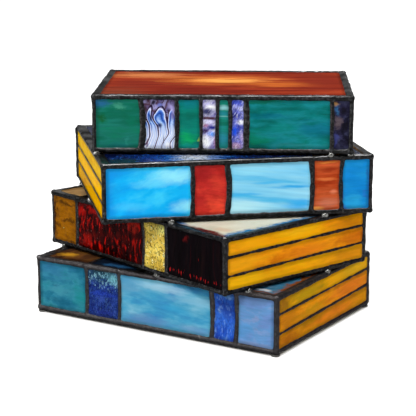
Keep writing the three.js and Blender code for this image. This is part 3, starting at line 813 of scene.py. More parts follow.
@dataclass(frozen=True)
class RubyGlass(ArtGlass):
    """Gold-ruby cathedral glass. The eye sees black where the sheet is thick and red where it is thin, and
    pale sparks are painted highlights.
    """

    thin: str = "#c01410"
    thick: str = "#120102"
    thin_from: float = 0.5
    grain: tuple[float, float] = (3.2, 9.0)
    thin_strength: float = 1.0
    # The colour and strength of the painted highlights.
    highlight_paint: str = "#e8b0a8"
    highlight_paint_strength: float = 0.0
    foot_ticks: float = 0.0

    PROCESS = "rolled_ruby_glass"
    # How softly thin places begin, and where thick ones do in the same noise.
    THIN_BLUR = 0.16
    THICK_SPAN = (0.47, 0.36)
    THICK_STRENGTH = 0.9
    # Size of a painted highlight and the noise that it spans.
    GLINT = (1.5, 1.5)
    GLINT_SPAN = (0.68, 0.76)
    # The ticks: the height of their line, their size, the rise of the noise there, and the noise they span.
    TICK_LINE = 4.5
    TICK = (1.2, 9.0)
    TICK_LIFT = 0.2
    TICK_SPAN = (0.72, 0.82)

    def figure(self, tree: bpy.types.NodeTree, place: bpy.types.NodeSocket, colour: bpy.types.NodeSocket,
               size: tuple[float, float], seed: float) -> tuple[bpy.types.NodeSocket, bpy.types.NodeSocket]:
        """Lets red through where the ripples are thin, paints pale highlights here and there, and draws the
        ticks along the foot.

        Args:
            tree: The material's node tree.
            place: Warped coordinates in millimetres.
            colour: The colour so far.
            size: The pane's length and height. Not used here.
            seed: Picks the pattern.

        Returns:
            The colour socket and the height socket for the bump.
        """
        ripple = self.stretched(tree, place, self.grain, seed + 5, 3.0, 0.6)
        thin = add_node(tree, "ShaderNodeMapRange", {
            "Value": ripple, "From Min": self.thin_from, "From Max": self.thin_from + self.THIN_BLUR,
            "To Max": self.thin_strength,
        }, interpolation_type="SMOOTHSTEP")
        thick = add_node(tree, "ShaderNodeMapRange", {
            "Value": ripple, "From Min": self.THICK_SPAN[0], "From Max": self.THICK_SPAN[1],
            "To Max": self.THICK_STRENGTH,
        }, interpolation_type="SMOOTHSTEP")
        # Painted highlights: pale sparks here and there.
        glint = self.stretched(tree, place, self.GLINT, seed + 11, 1.0)
        highlight_paint = add_node(tree, "ShaderNodeMapRange", {
            "Value": glint, "From Min": self.GLINT_SPAN[0], "From Max": self.GLINT_SPAN[1],
            "To Max": self.highlight_paint_strength,
        }, interpolation_type="SMOOTHSTEP")
        split = add_node(tree, "ShaderNodeSeparateXYZ", {"Vector": place})
        tick = self.stretched(tree, place, self.TICK, seed + 17, 2.0)
        above = add_node(tree, "ShaderNodeMath", {0: split.outputs["Y"], 1: -self.TICK_LINE}, operation="ADD")
        away = add_node(tree, "ShaderNodeMath", {0: above.outputs[0]}, operation="ABSOLUTE")
        foot = add_node(tree, "ShaderNodeMapRange", {
            "Value": away.outputs[0], "From Max": self.TICK_LINE, "To Min": self.TICK_LIFT, "To Max": 0.0,
        })
        lit = add_node(tree, "ShaderNodeMath", {0: tick, 1: foot.outputs["Result"]}, operation="ADD")
        ticks = add_node(tree, "ShaderNodeMapRange", {
            "Value": lit.outputs[0], "From Min": self.TICK_SPAN[0], "From Max": self.TICK_SPAN[1],
            "To Max": self.foot_ticks,
        }, interpolation_type="SMOOTHSTEP")
        layers = ((thin, self.thin), (thick, self.thick), (highlight_paint, self.highlight_paint), (ticks, self.thin))
        for layer, code in layers:
            colour = add_node(tree, "ShaderNodeMix", {
                0: layer.outputs["Result"], MIX_BELOW: colour, MIX_OVER: linear(code),
            }, data_type="RGBA").outputs[MIX_OUT]
        return colour, ripple


@dataclass(frozen=True)
class Finish:
    """A metal, plastic, ceramic or rubber surface, clouded and grained as its process leaves it.

    Cloud and grain are the sizes of the tone changes and of the relief, and stretch makes both longer along
    an axis. Edge is how much of its grazing mirror a metal keeps. Waxed faces that look up have a clear skin,
    by the share that the mesh's rub attribute gives.
    """

    name: str
    tones: tuple[str, ...]
    roughness: tuple[float, float]
    metal: float = 0.0
    specular: float = 0.5
    cloud: float = 8.0
    grain: float = 2.0
    bump: float = 0.1
    stretch: tuple[float, float, float] = (1.0, 1.0, 1.0)
    fleck: str | None = None
    waxed: bool = False
    coat: float = 0.0
    edge: float = 1.0

    # The noise that the tones span and that the flecks span, the grain's size as a share of a fleck's, and
    # how far up a face has to look to be waxed.
    SPREAD = (0.3, 0.7)
    FLECK_SPAN = (0.62, 0.72)
    FLECK_SHARE = 0.6
    UP_SPAN = (0.45, 0.75)

    def material(self) -> bpy.types.Material:
        """Builds the finish.

        Returns:
            The material.
        """
        material, tree, surface = new_material(self.name)
        where = add_node(tree, "ShaderNodeTexCoord")
        scaled = add_node(tree, "ShaderNodeMapping", {
            "Vector": where.outputs["Object"], "Scale": tuple(1 / (MM * share) for share in self.stretch),
        })
        cloud = add_node(tree, "ShaderNodeTexNoise", {
            "Vector": scaled.outputs["Vector"], "Scale": 1 / self.cloud, "Detail": 5.0, "Roughness": 0.62,
        })
        grit = add_node(tree, "ShaderNodeTexNoise", {
            "Vector": scaled.outputs["Vector"], "Scale": 1 / self.grain, "Detail": 2.0, "Roughness": 0.5,
        })
        low, high = self.SPREAD
        step = (high - low) / max(1, len(self.tones) - 1)
        stops = [(low + i * step, tone) for i, tone in enumerate(self.tones)]
        colour = add_node(tree, "ShaderNodeValToRGB", {"Fac": cloud.outputs["Fac"]}, stops).outputs["Color"]
        if self.fleck:
            worn = add_node(tree, "ShaderNodeTexNoise", {
                "Vector": scaled.outputs["Vector"], "Scale": self.FLECK_SHARE / self.grain, "Detail": 4.0,
                "Roughness": 0.7, "Distortion": 0.8,
            })
            share = add_node(tree, "ShaderNodeMapRange", {
                "Value": worn.outputs["Fac"], "From Min": self.FLECK_SPAN[0], "From Max": self.FLECK_SPAN[1],
            }, interpolation_type="SMOOTHSTEP")
            colour = add_node(tree, "ShaderNodeMix", {
                0: share.outputs["Result"], MIX_BELOW: colour, MIX_OVER: linear(self.fleck),
            }, data_type="RGBA").outputs[MIX_OUT]
        gloss = add_node(tree, "ShaderNodeMapRange", {
            "Value": cloud.outputs["Fac"], "From Min": low, "From Max": high,
            "To Min": self.roughness[0], "To Max": self.roughness[1],
        })
        bump = add_node(tree, "ShaderNodeBump", {
            "Height": grit.outputs["Fac"], "Distance": self.bump * MM, "Strength": 1.0,
        })
        coat = self.coat
        if self.waxed:
            facing = add_node(tree, "ShaderNodeNewGeometry")
            split = add_node(tree, "ShaderNodeSeparateXYZ", {"Vector": facing.outputs["Normal"]})
            upward = add_node(tree, "ShaderNodeMapRange", {
                "Value": split.outputs["Z"], "From Min": self.UP_SPAN[0], "From Max": self.UP_SPAN[1],
            }, interpolation_type="SMOOTHSTEP")
            rubbed = add_node(tree, "ShaderNodeAttribute", attribute_name="rub")
            wax = add_node(tree, "ShaderNodeMath", {0: upward.outputs["Result"], 1: rubbed.outputs["Fac"]},
                           operation="MULTIPLY")
            coat = wax.outputs[0]
        shader = add_node(tree, "ShaderNodeBsdfPrincipled", {
            "Base Color": colour, "Metallic": self.metal, "Roughness": gloss.outputs["Result"],
            "Specular IOR Level": self.specular, "Specular Tint": (self.edge, self.edge, self.edge, 1.0),
            "Normal": bump.outputs["Normal"], "Coat Weight": coat, "Coat Roughness": 0.06,
        })
        tree.links.new(shader.outputs["BSDF"], surface)
        return material


# Near-black metal salt over tin: the eye sees a black core with thin sharp glints and a few rubbed flecks.
PATINA = Finish("black_patina_solder", ("#101010", "#202020", "#3e3e40"), (0.24, 0.55), metal=1.0,
                cloud=2.4, grain=2.2, bump=0.1, fleck="#565654", waxed=True, edge=0.5)
# The same salt worn thin and waxed less: the eye sees an even dark grey instead of black.
WORN_PATINA = replace(PATINA, name="worn_patina_solder", tones=("#211f20", "#2d2b2c", "#403e3e"),
                      roughness=(0.38, 0.6), bump=0.05, fleck="#5a5857")
# Freshly melted tin that the patina didn't reach: the eye sees small grey mirrors.
BRIGHT_TIN = Finish("wiped_bright_solder", ("#2e2e2d", "#5c5c59", "#8a8a86"), (0.18, 0.34), metal=0.85,
                    cloud=3.0, grain=2.0, bump=0.3)
# Finishes of the parts that carry the bulb and of the feet, by the record's material slot.
HARDWARE = {
    # Moulded rubber: the eye sees a dull grey skin with a fine bloom.
    "rubber": Finish("moulded_grey_rubber", ("#4c4a46", "#5e5c58", "#6c6a66"), (0.6, 0.8), specular=0.3,
                     cloud=4.0, grain=0.5, bump=0.03),
    # Zinc-plated strip steel: the eye sees cloudy spangles and a brushed sheen along the bar.
    "steel": Finish("zinc_plated_steel", ("#7e8186", "#999ca1", "#b2b5b8"), (0.28, 0.45), metal=1.0,
                    cloud=5.0, grain=0.4, bump=0.02, stretch=(9.0, 1.0, 1.0)),
    # Spun brass: the eye sees warm yellow metal with turning lines.
    "brass": Finish("spun_brass", ("#94702a", "#b58d3a", "#cba552"), (0.2, 0.36), metal=1.0,
                    cloud=4.0, grain=0.3, bump=0.015, stretch=(7.0, 7.0, 1.0)),
    # Moulded phenolic: the eye sees a polished black with faint brown marbling.
    "holder_plastic": Finish("moulded_phenolic", ("#0e0d0d", "#17130f", "#231a12"), (0.2, 0.3),
                             cloud=6.0, grain=0.8, bump=0.02, coat=0.2),
    # Glazed porcelain: the eye sees warm white with a wet gloss and a slight orange peel.
    "ceramic": Finish("glazed_porcelain", ("#ddd6c8", "#e8e2d6", "#f1ece2"), (0.12, 0.22),
                      cloud=6.0, grain=1.6, bump=0.02, coat=0.5),
    # Opal bulb glass: the eye sees an even milky white with a soft skin.
    "bulb_glass": Finish("opal_bulb_glass", ("#ece4d2", "#f3ecdc", "#f8f3e8"), (0.1, 0.16),
                         cloud=14.0, grain=5.0, bump=0.02, coat=0.3),
}


@dataclass(frozen=True)
class Bead:
    """A run of solder along a path. It swells and thins a little, as a hand-held iron leaves it."""

    path: Callable[[float], Vector]
    length: float
    radius: float
    side: Vector
    spread: float = 1.0
    waist: float = 0.0
    seed: float = 0.0

    RING_PITCH = 2.0
    SIDES = 12
    # How much a bead swells, over which lengths, and how far and over which length it drifts sideways.
    SWELL = 0.12
    SLOW_SWELL = 9.0
    QUICK_SWELL = 3.5
    DRIFT = 0.35
    DRIFT_LENGTH = 14.0
    # Half the share of the path over which its direction is taken.
    NUDGE_SHARE = 0.001

    def build(self) -> bmesh.types.BMesh:
        """Bends a subdivided rod along the path.

        Returns:
            A closed bmesh in millimetres.
        """
        rod = bmesh.new()
        bmesh.ops.create_cone(rod, cap_ends=True, segments=self.SIDES, radius1=1.0, radius2=1.0, depth=1.0)
        lengthwise = [e for e in rod.edges if abs(e.verts[0].co.z - e.verts[1].co.z) > HALF]
        rings = max(2, round(self.length / self.RING_PITCH))
        bmesh.ops.subdivide_edges(rod, edges=lengthwise, cuts=rings)
        for vert in rod.verts:
            share = min(1.0, max(0.0, vert.co.z + HALF))
            before = self.path(max(0.0, share - self.NUDGE_SHARE))
            after = self.path(min(1.0, share + self.NUDGE_SHARE))
            outward = (after - before).normalized().cross(self.side)
            run = share * self.length
            swell = noise.noise(Vector((run / self.SLOW_SWELL, self.seed, 0.3)))
            swell += noise.noise(Vector((run / self.QUICK_SWELL, 5.1, self.seed)))
            radius = self.radius * (1 + self.SWELL * swell - self.waist * math.sin(math.pi * share))
            drift = noise.noise(Vector((run / self.DRIFT_LENGTH, self.seed, 9.7))) * self.DRIFT
            sideways = self.side * (vert.co.x * radius * self.spread + drift)
            vert.co = self.path(share) + sideways + outward * vert.co.y * radius
        return rod


def straight(start: Vector, end: Vector, bow: Vector | None = None) -> Callable[[float], Vector]:
    """A path from one point to another.

    Args:
        start: Where it starts.
        end: Where it ends.
        bow: How far its middle stands to the side.

    Returns:
        A function from a share of the way to a point.
    """
    pull = bow if bow is not None else Vector((0, 0, 0))
    return lambda share: start.lerp(end, share) + pull * bulge(share)


@dataclass
class SolderSkeleton:
    """All the solder of one book: edges, corners, seams and page seams, melted into one piece."""

    book: Book
    voxel: float = 0.93
    smoothing: int = 2
    melt: bmesh.types.BMesh = field(default_factory=bmesh.new)
    count: int = 0

    # The skin's dents, the share of the height from which it is wiped, and the size of the wiped patches.
    GRAIN_DEPTH = 0.1
    GRAIN_SIZE = 5.0
    FINE_GRAIN = 2.3
    RUB_FROM = 0.75
    RUB_SIZE = 16.0
    # Corner beads: how far out they stand, how waisted they are, and how far past them their lumps sit.
    NEAR_SHIFT = -0.1
    FAR_SHIFT = -0.3
    CORNER_WAIST = 0.08
    CORNER_LIFT = 0.2
    # Lumps where seams meet: how far out they stand, how flat they are, and the depth and grain of dents.
    JOINT_SHIFT = 0.4
    JOINT_SQUASH = 0.9
    LUMP_DENT = 0.12
    LUMP_GRAIN = 1.3
    # How much wider than its plan a flat band is, and how a tack's neck sits under it.
    BAND_OVERLAP = 0.25
    TACK_DROP = 1.2
    TACK_SHARE = 0.95
    # The notch for the lead: where it is along the back, the radius of its arch and the height of its sides.
    NOTCH_SHARE = 0.28
    NOTCH_LINE = 7.5
    NOTCH_SPRING = 3.0
    BACK_EDGE = 2
    COARSER = 1.6

    def pour(self, shape: bmesh.types.BMesh) -> None:
        """Adds one closed shape to the melt.

        Args:
            shape: The shape, in the book's frame. It is freed.
        """
        mesh = bpy.data.meshes.new("pour")
        shape.to_mesh(mesh)
        shape.free()
        self.melt.from_mesh(mesh)
        bpy.data.meshes.remove(mesh)

    def run(self, start: Vector, end: Vector, radius: float, side: Vector, bow: Vector | None = None,
            spread: float = 1.0, waist: float = 0.0) -> None:
        """Runs one bead.

        Args:
            start: Where it starts, in the book's frame.
            end: Where it ends.
            radius: Its mean radius.
            side: A direction square to it.
            bow: How far its middle stands to the side.
            spread: How much wider it is along side.
            waist: How much thinner its middle is.
        """
        self.count += 1
        seed = self.count * 1.7 + self.book.turn
        length = (end - start).length
        self.pour(Bead(straight(start, end, bow), length, radius, side, spread, waist, seed).build())

    def lump(self, at: Vector, radius: float, squash: tuple[float, float, float] = (1.0, 1.0, 1.0)) -> None:
        """Drops one lump of solder.

        Args:
            at: Its middle, in the book's frame.
            radius: Its mean radius.
            squash: How much it is stretched along each axis.
        """
        self.count += 1
        shape = bmesh.new()
        bmesh.ops.create_icosphere(shape, subdivisions=3, radius=radius)
        bmesh.ops.scale(shape, verts=shape.verts, vec=Vector(squash))
        pattern = Vector((self.count, self.book.turn, 0))
        for vert in shape.verts:
            vert.co *= 1 + self.LUMP_DENT * noise.noise(vert.co / radius * self.LUMP_GRAIN + pattern)
        bmesh.ops.translate(shape, verts=shape.verts, vec=at)
        self.pour(shape)

    def edges(self) -> None:
        """The twelve edges of the box and its eight corners."""
        corners = self.book.corners()
        top = UP * self.book.height
        for i, corner in enumerate(corners):
            after = corners[(i + 1) % len(corners)]
            side = (after - corner).normalized().cross(UP)
            if self.book.notched and i == self.BACK_EDGE:
                self.notch(corner, after)
            else:
                self.run(corner, after, EDGE_BEAD, side)
            self.run(corner + top, after + top, EDGE_BEAD, side)
            far = corner.y > 0
            radius = self.book.far_bead if far else self.book.near_beads[int(corner.x > 0)]
            out = corner.normalized() * (self.FAR_SHIFT if far else self.NEAR_SHIFT)
            foot, head = corner + out, corner + out + top
            self.run(foot, head, radius, ALONG, waist=self.CORNER_WAIST)
            self.lump(foot - UP * self.CORNER_LIFT, CORNER_LUMP)
            self.lump(head + UP * self.CORNER_LIFT, CORNER_LUMP)

    def notch(self, start: Vector, end: Vector) -> None:
        """The lowest bead of the back, which rises in an arch over the notch for the lead.

        Args:
            start: The corner where the bead starts.
            end: The corner where it ends.
        """
        gap = self.NOTCH_LINE
        middle = start.lerp(end, self.NOTCH_SHARE)
        way = (end - start).normalized()
        self.run(start, middle - way * gap, EDGE_BEAD, ACROSS)
        self.run(middle + way * gap, end, EDGE_BEAD, ACROSS)
        arch = math.pi * gap
        whole = arch + 2 * self.NOTCH_SPRING

        def over(share: float) -> Vector:
            """A point of the arch.

            Args:
                share: Share of the way over it.

            Returns:
                The point in the book's frame.
            """
            run = share * whole
            if run < self.NOTCH_SPRING:
                return middle - way * gap + UP * run
            if run > whole - self.NOTCH_SPRING:
                return middle + way * gap + UP * (whole - run)
            angle = (run - self.NOTCH_SPRING) / gap
            return middle - way * gap * math.cos(angle) + UP * (self.NOTCH_SPRING + gap * math.sin(angle))

        self.pour(Bead(over, whole, PAGE_BEAD, ACROSS.copy(), seed=self.count).build())

    def spine(self) -> None:
        """The seams of the spine, with a small lump where each one meets the top and bottom beads."""
        front = -self.book.width * HALF
        for share, bow, spread in zip(self.book.seams, self.book.bows, self.book.spreads):
            foot = Vector(((share - HALF) * self.book.length, front, 0))
            head = foot + UP * self.book.height
            self.run(foot, head, SEAM_BEAD, ALONG, ALONG * bow * self.book.height, spread)
            for end, away in ((foot, -UP), (head, UP)):
                at = end + (away - ACROSS) * self.JOINT_SHIFT
                self.lump(at, JOINT_LUMP, (spread, 1.0, self.JOINT_SQUASH))

    def covers(self) -> None:
        """The inner seams of the cover pieces and the flat bands that frame the cover."""
        u, w, h = self.book.length * HALF, self.book.width * HALF, self.book.height
        cuts = {cut for piece in self.book.cover_cuts for cut in piece} - {0.0, 1.0}
        for cut in sorted(cuts):
            x = (cut - HALF) * self.book.length
            self.run(Vector((x, -w, h)), Vector((x, w, h)), SEAM_BEAD, ALONG)
            for y in (-w, w):
                self.lump(Vector((x, y, h)), JOINT_LUMP)
        left, right = self.book.end_bands
        for x, band in ((-u + left * HALF, left), (u - right * HALF, right)):
            self.run(Vector((x, -w, h)), Vector((x, w, h)), BAND_RISE, ALONG,
                     spread=band * HALF / BAND_RISE + self.BAND_OVERLAP)
        for y in (-w + RIM_BAND * HALF, w - RIM_BAND * HALF):
            self.run(Vector((-u, y, h)), Vector((u, y, h)), BAND_RISE, ACROSS,
                     spread=RIM_BAND * HALF / BAND_RISE + self.BAND_OVERLAP)

    def page_seams(self) -> None:
        """The two seams between the page strips, on the three sides that have pages."""
        for side in (Side.RIGHT, Side.BACK, Side.LEFT):
            face = self.book.face(side)
            for near, far in self.book.pages:
                first, last = page_heights(side, near, far)
                start = face.matrix @ Vector((0, first * face.rise, 0))
                end = face.matrix @ Vector((face.span, last * face.rise, 0))
                outward = face.matrix.to_3x3() @ UP
                self.run(start, end, PAGE_BEAD, outward)

    def tacks(self, points: Sequence[Vector]) -> None:
        """Necks of solder under the places where the next book is tacked on."""
        for point in points:
            self.lump(point - UP * self.TACK_DROP, TACK_LUMP * self.TACK_SHARE, (1.0, 1.0, self.JOINT_SQUASH))

    def build(self, material: bpy.types.Material, points: Sequence[Vector]) -> None:
        """Melts the whole skeleton and puts it in place.

        Args:
            material: The solder's finish.
            points: Where the next book is tacked on, in this book's frame.
        """
        self.edges()
        self.spine()
        self.covers()
        self.page_seams()
        self.tacks(points)
        bmesh.ops.transform(self.melt, matrix=self.book.place(), verts=self.melt.verts)
        mesh = bpy.data.meshes.new("melt")
        self.melt.to_mesh(mesh)
        self.melt.free()
        name = f"{self.book.name}_solder_skeleton"
        voxel = self.voxel * 1.0
        skin = fused(mesh, voxel * MM, self.smoothing)
        skin.name = name
        self.roughen(skin)
        self.rub(skin)
        finish_piece(name, skin, material, "lamp", [f"{self.book.name}_solder_frame"])

    def roughen(self, skin: bpy.types.Mesh) -> None:
        """Leaves the small dents and rises of hand-run solder.

        Args:
            skin: The skeleton's mesh, in place.
        """
        shape = bmesh.new()
        shape.from_mesh(skin)
        shape.normal_update()
        for vert in shape.verts:
            place = vert.co / (self.GRAIN_SIZE * MM)
            dent = noise.noise(place) + HALF * noise.noise(place * self.FINE_GRAIN)
            vert.co += vert.normal * dent * self.GRAIN_DEPTH * MM
        shape.to_mesh(skin)
        shape.free()

    def rub(self, skin: bpy.types.Mesh) -> None:
        """Marks how much each place has been wiped: the top edges here and there, the rest not at all.

        Args:
            skin: The skeleton's mesh, in place.
        """
        inward = self.book.place().inverted()
        marks = skin.attributes.new("rub", "FLOAT", "POINT")
        start = self.book.height * self.RUB_FROM
        for vert, mark in zip(skin.vertices, marks.data):
            share = self.book.wiped + noise.noise(vert.co / (self.RUB_SIZE * MM))
            mark.value = min(1.0, max(0.0, share)) if (inward @ vert.co).z > start else 0.0


def page_heights(side: Side, near: float, far: float) -> tuple[float, float]:
    """The heights of a page seam at the start and the end of a face, as shares of the book's height.

    Args:
        side: The face.
        near: The seam's height at the spine.
        far: Its height at the back.

    Returns:
        The heights at the start and the end of the face's drawing plane.
    """
    return {Side.RIGHT: (near, far), Side.LEFT: (far, near)}.get(side, (far, far))


@dataclass
class Pane:
    """One piece of sheet glass, cut to its outline and rolled with its relief on the outside."""

    name: str
    book: Book
    side: Side
    outline: Outline
    glass: ArtGlass
    nodes: tuple[str, ...]
    seed: float

    COARSER = 2.0
    FEWEST = 4

    def plane(self) -> Matrix:
        """The pane's plane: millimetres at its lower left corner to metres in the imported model's frame."""
        corner = Vector((self.outline.left, self.outline.low[0], 0))
        return self.book.place() @ self.book.face(self.side).matrix @ Matrix.Translation(corner)

    def size(self) -> tuple[float, float]:
        """The pane's length and height."""
        return self.outline.right - self.outline.left, self.outline.high[0] - self.outline.low[0]

    def build(self) -> None:
        """Cuts, rolls and places the pane."""
        pitch = self.glass.relief.value[0] * 1.0
        length, height = self.size()
        sheet = bmesh.new()
        bmesh.ops.create_grid(sheet, x_segments=max(self.FEWEST, round(length / pitch)),
                              y_segments=max(self.FEWEST, round(height / pitch)), size=HALF)
        for vert in sheet.verts:
            x, y = self.outline.point(vert.co.x + HALF, vert.co.y + HALF)
            x, y = x - self.outline.left, y - self.outline.low[0]
            vert.co = Vector((x, y, GLASS * HALF + self.glass.relief.height(x, y, self.seed)))
        made = bmesh.ops.extrude_face_region(sheet, geom=sheet.faces[:])
        for part in made["geom"]:
            if isinstance(part, bmesh.types.BMVert):
                part.co.z = -GLASS * HALF
        bmesh.ops.recalc_face_normals(sheet, faces=sheet.faces)
        plane = self.plane()
        bmesh.ops.transform(sheet, matrix=plane, verts=sheet.verts)
        mesh = bpy.data.meshes.new(self.name)
        sheet.to_mesh(mesh)
        sheet.free()
        turn = plane.to_quaternion().to_matrix().to_4x4()
        paint_plane = Matrix.Translation(plane.to_translation()) @ turn
        bows = (self.outline.bow_left, self.outline.bow_right)
        material = self.glass.material(self.name, paint_plane, (length, height), bows, self.seed)
        finish_piece(self.name, mesh, material, "lamp", self.nodes)


# The four books from the lowest up: box and turn, places and bows of the spine seams, heights of the page
# seams at the spine and at the back, spans of the cover pieces, and spreads of the spine seams.
BOOKS = (
    Book("book_1", 247, 170, 46, -31.7, (0.215, 0.36, 0.746, 0.844), (0.026, 0.018, 0.033, 0.028),
         ((0.32, 0.38), (0.69, 0.71)), ((0.0, 0.215), (0.215, 0.42), (0.746, 1.0)),
         (1.2, 1.1, 1.4, 1.25), end_bands=(8.0, 4.6), worn=True, notched=True),
    Book("book_2", 238, 165, 45, -48.6, (0.155, 0.555, 0.688), (0.013, 0.04, 0.022),
         ((0.3, 0.35), (0.66, 0.7)), ((0.0, 0.155), (0.688, 1.0)), (1.2, 1.1, 1.15),
         wiped=0.4),
    Book("book_3", 232, 188, 47, 10.9, (0.323, 0.452, 0.769, 0.889), (0.017, 0.043, 0.034, -0.026),
         ((0.33, 0.34), (0.67, 0.66)), ((0.0, 1.0),), (1.2, 1.45, 1.3, 1.15), end_bands=(7.0, 7.0),
         near_beads=(2.2, 2.2), far_bead=4.3, wiped=0.55),
    Book("book_4", 220, 149, 46, -2.3, (0.182, 0.32, 0.416, 0.481, 0.53, 0.592, 0.925),
         (0.043, 0.022, 0.009, 0.0, 0.007, 0.013, 0.004),
         ((0.33, 0.33), (0.67, 0.67)), ((0.0, 1.0),), (1.5, 1.15, 0.95, 1.0, 1.0, 1.5, 1.05),
         end_bands=(5.0, 5.0), near_beads=(2.2, 2.3)),
)

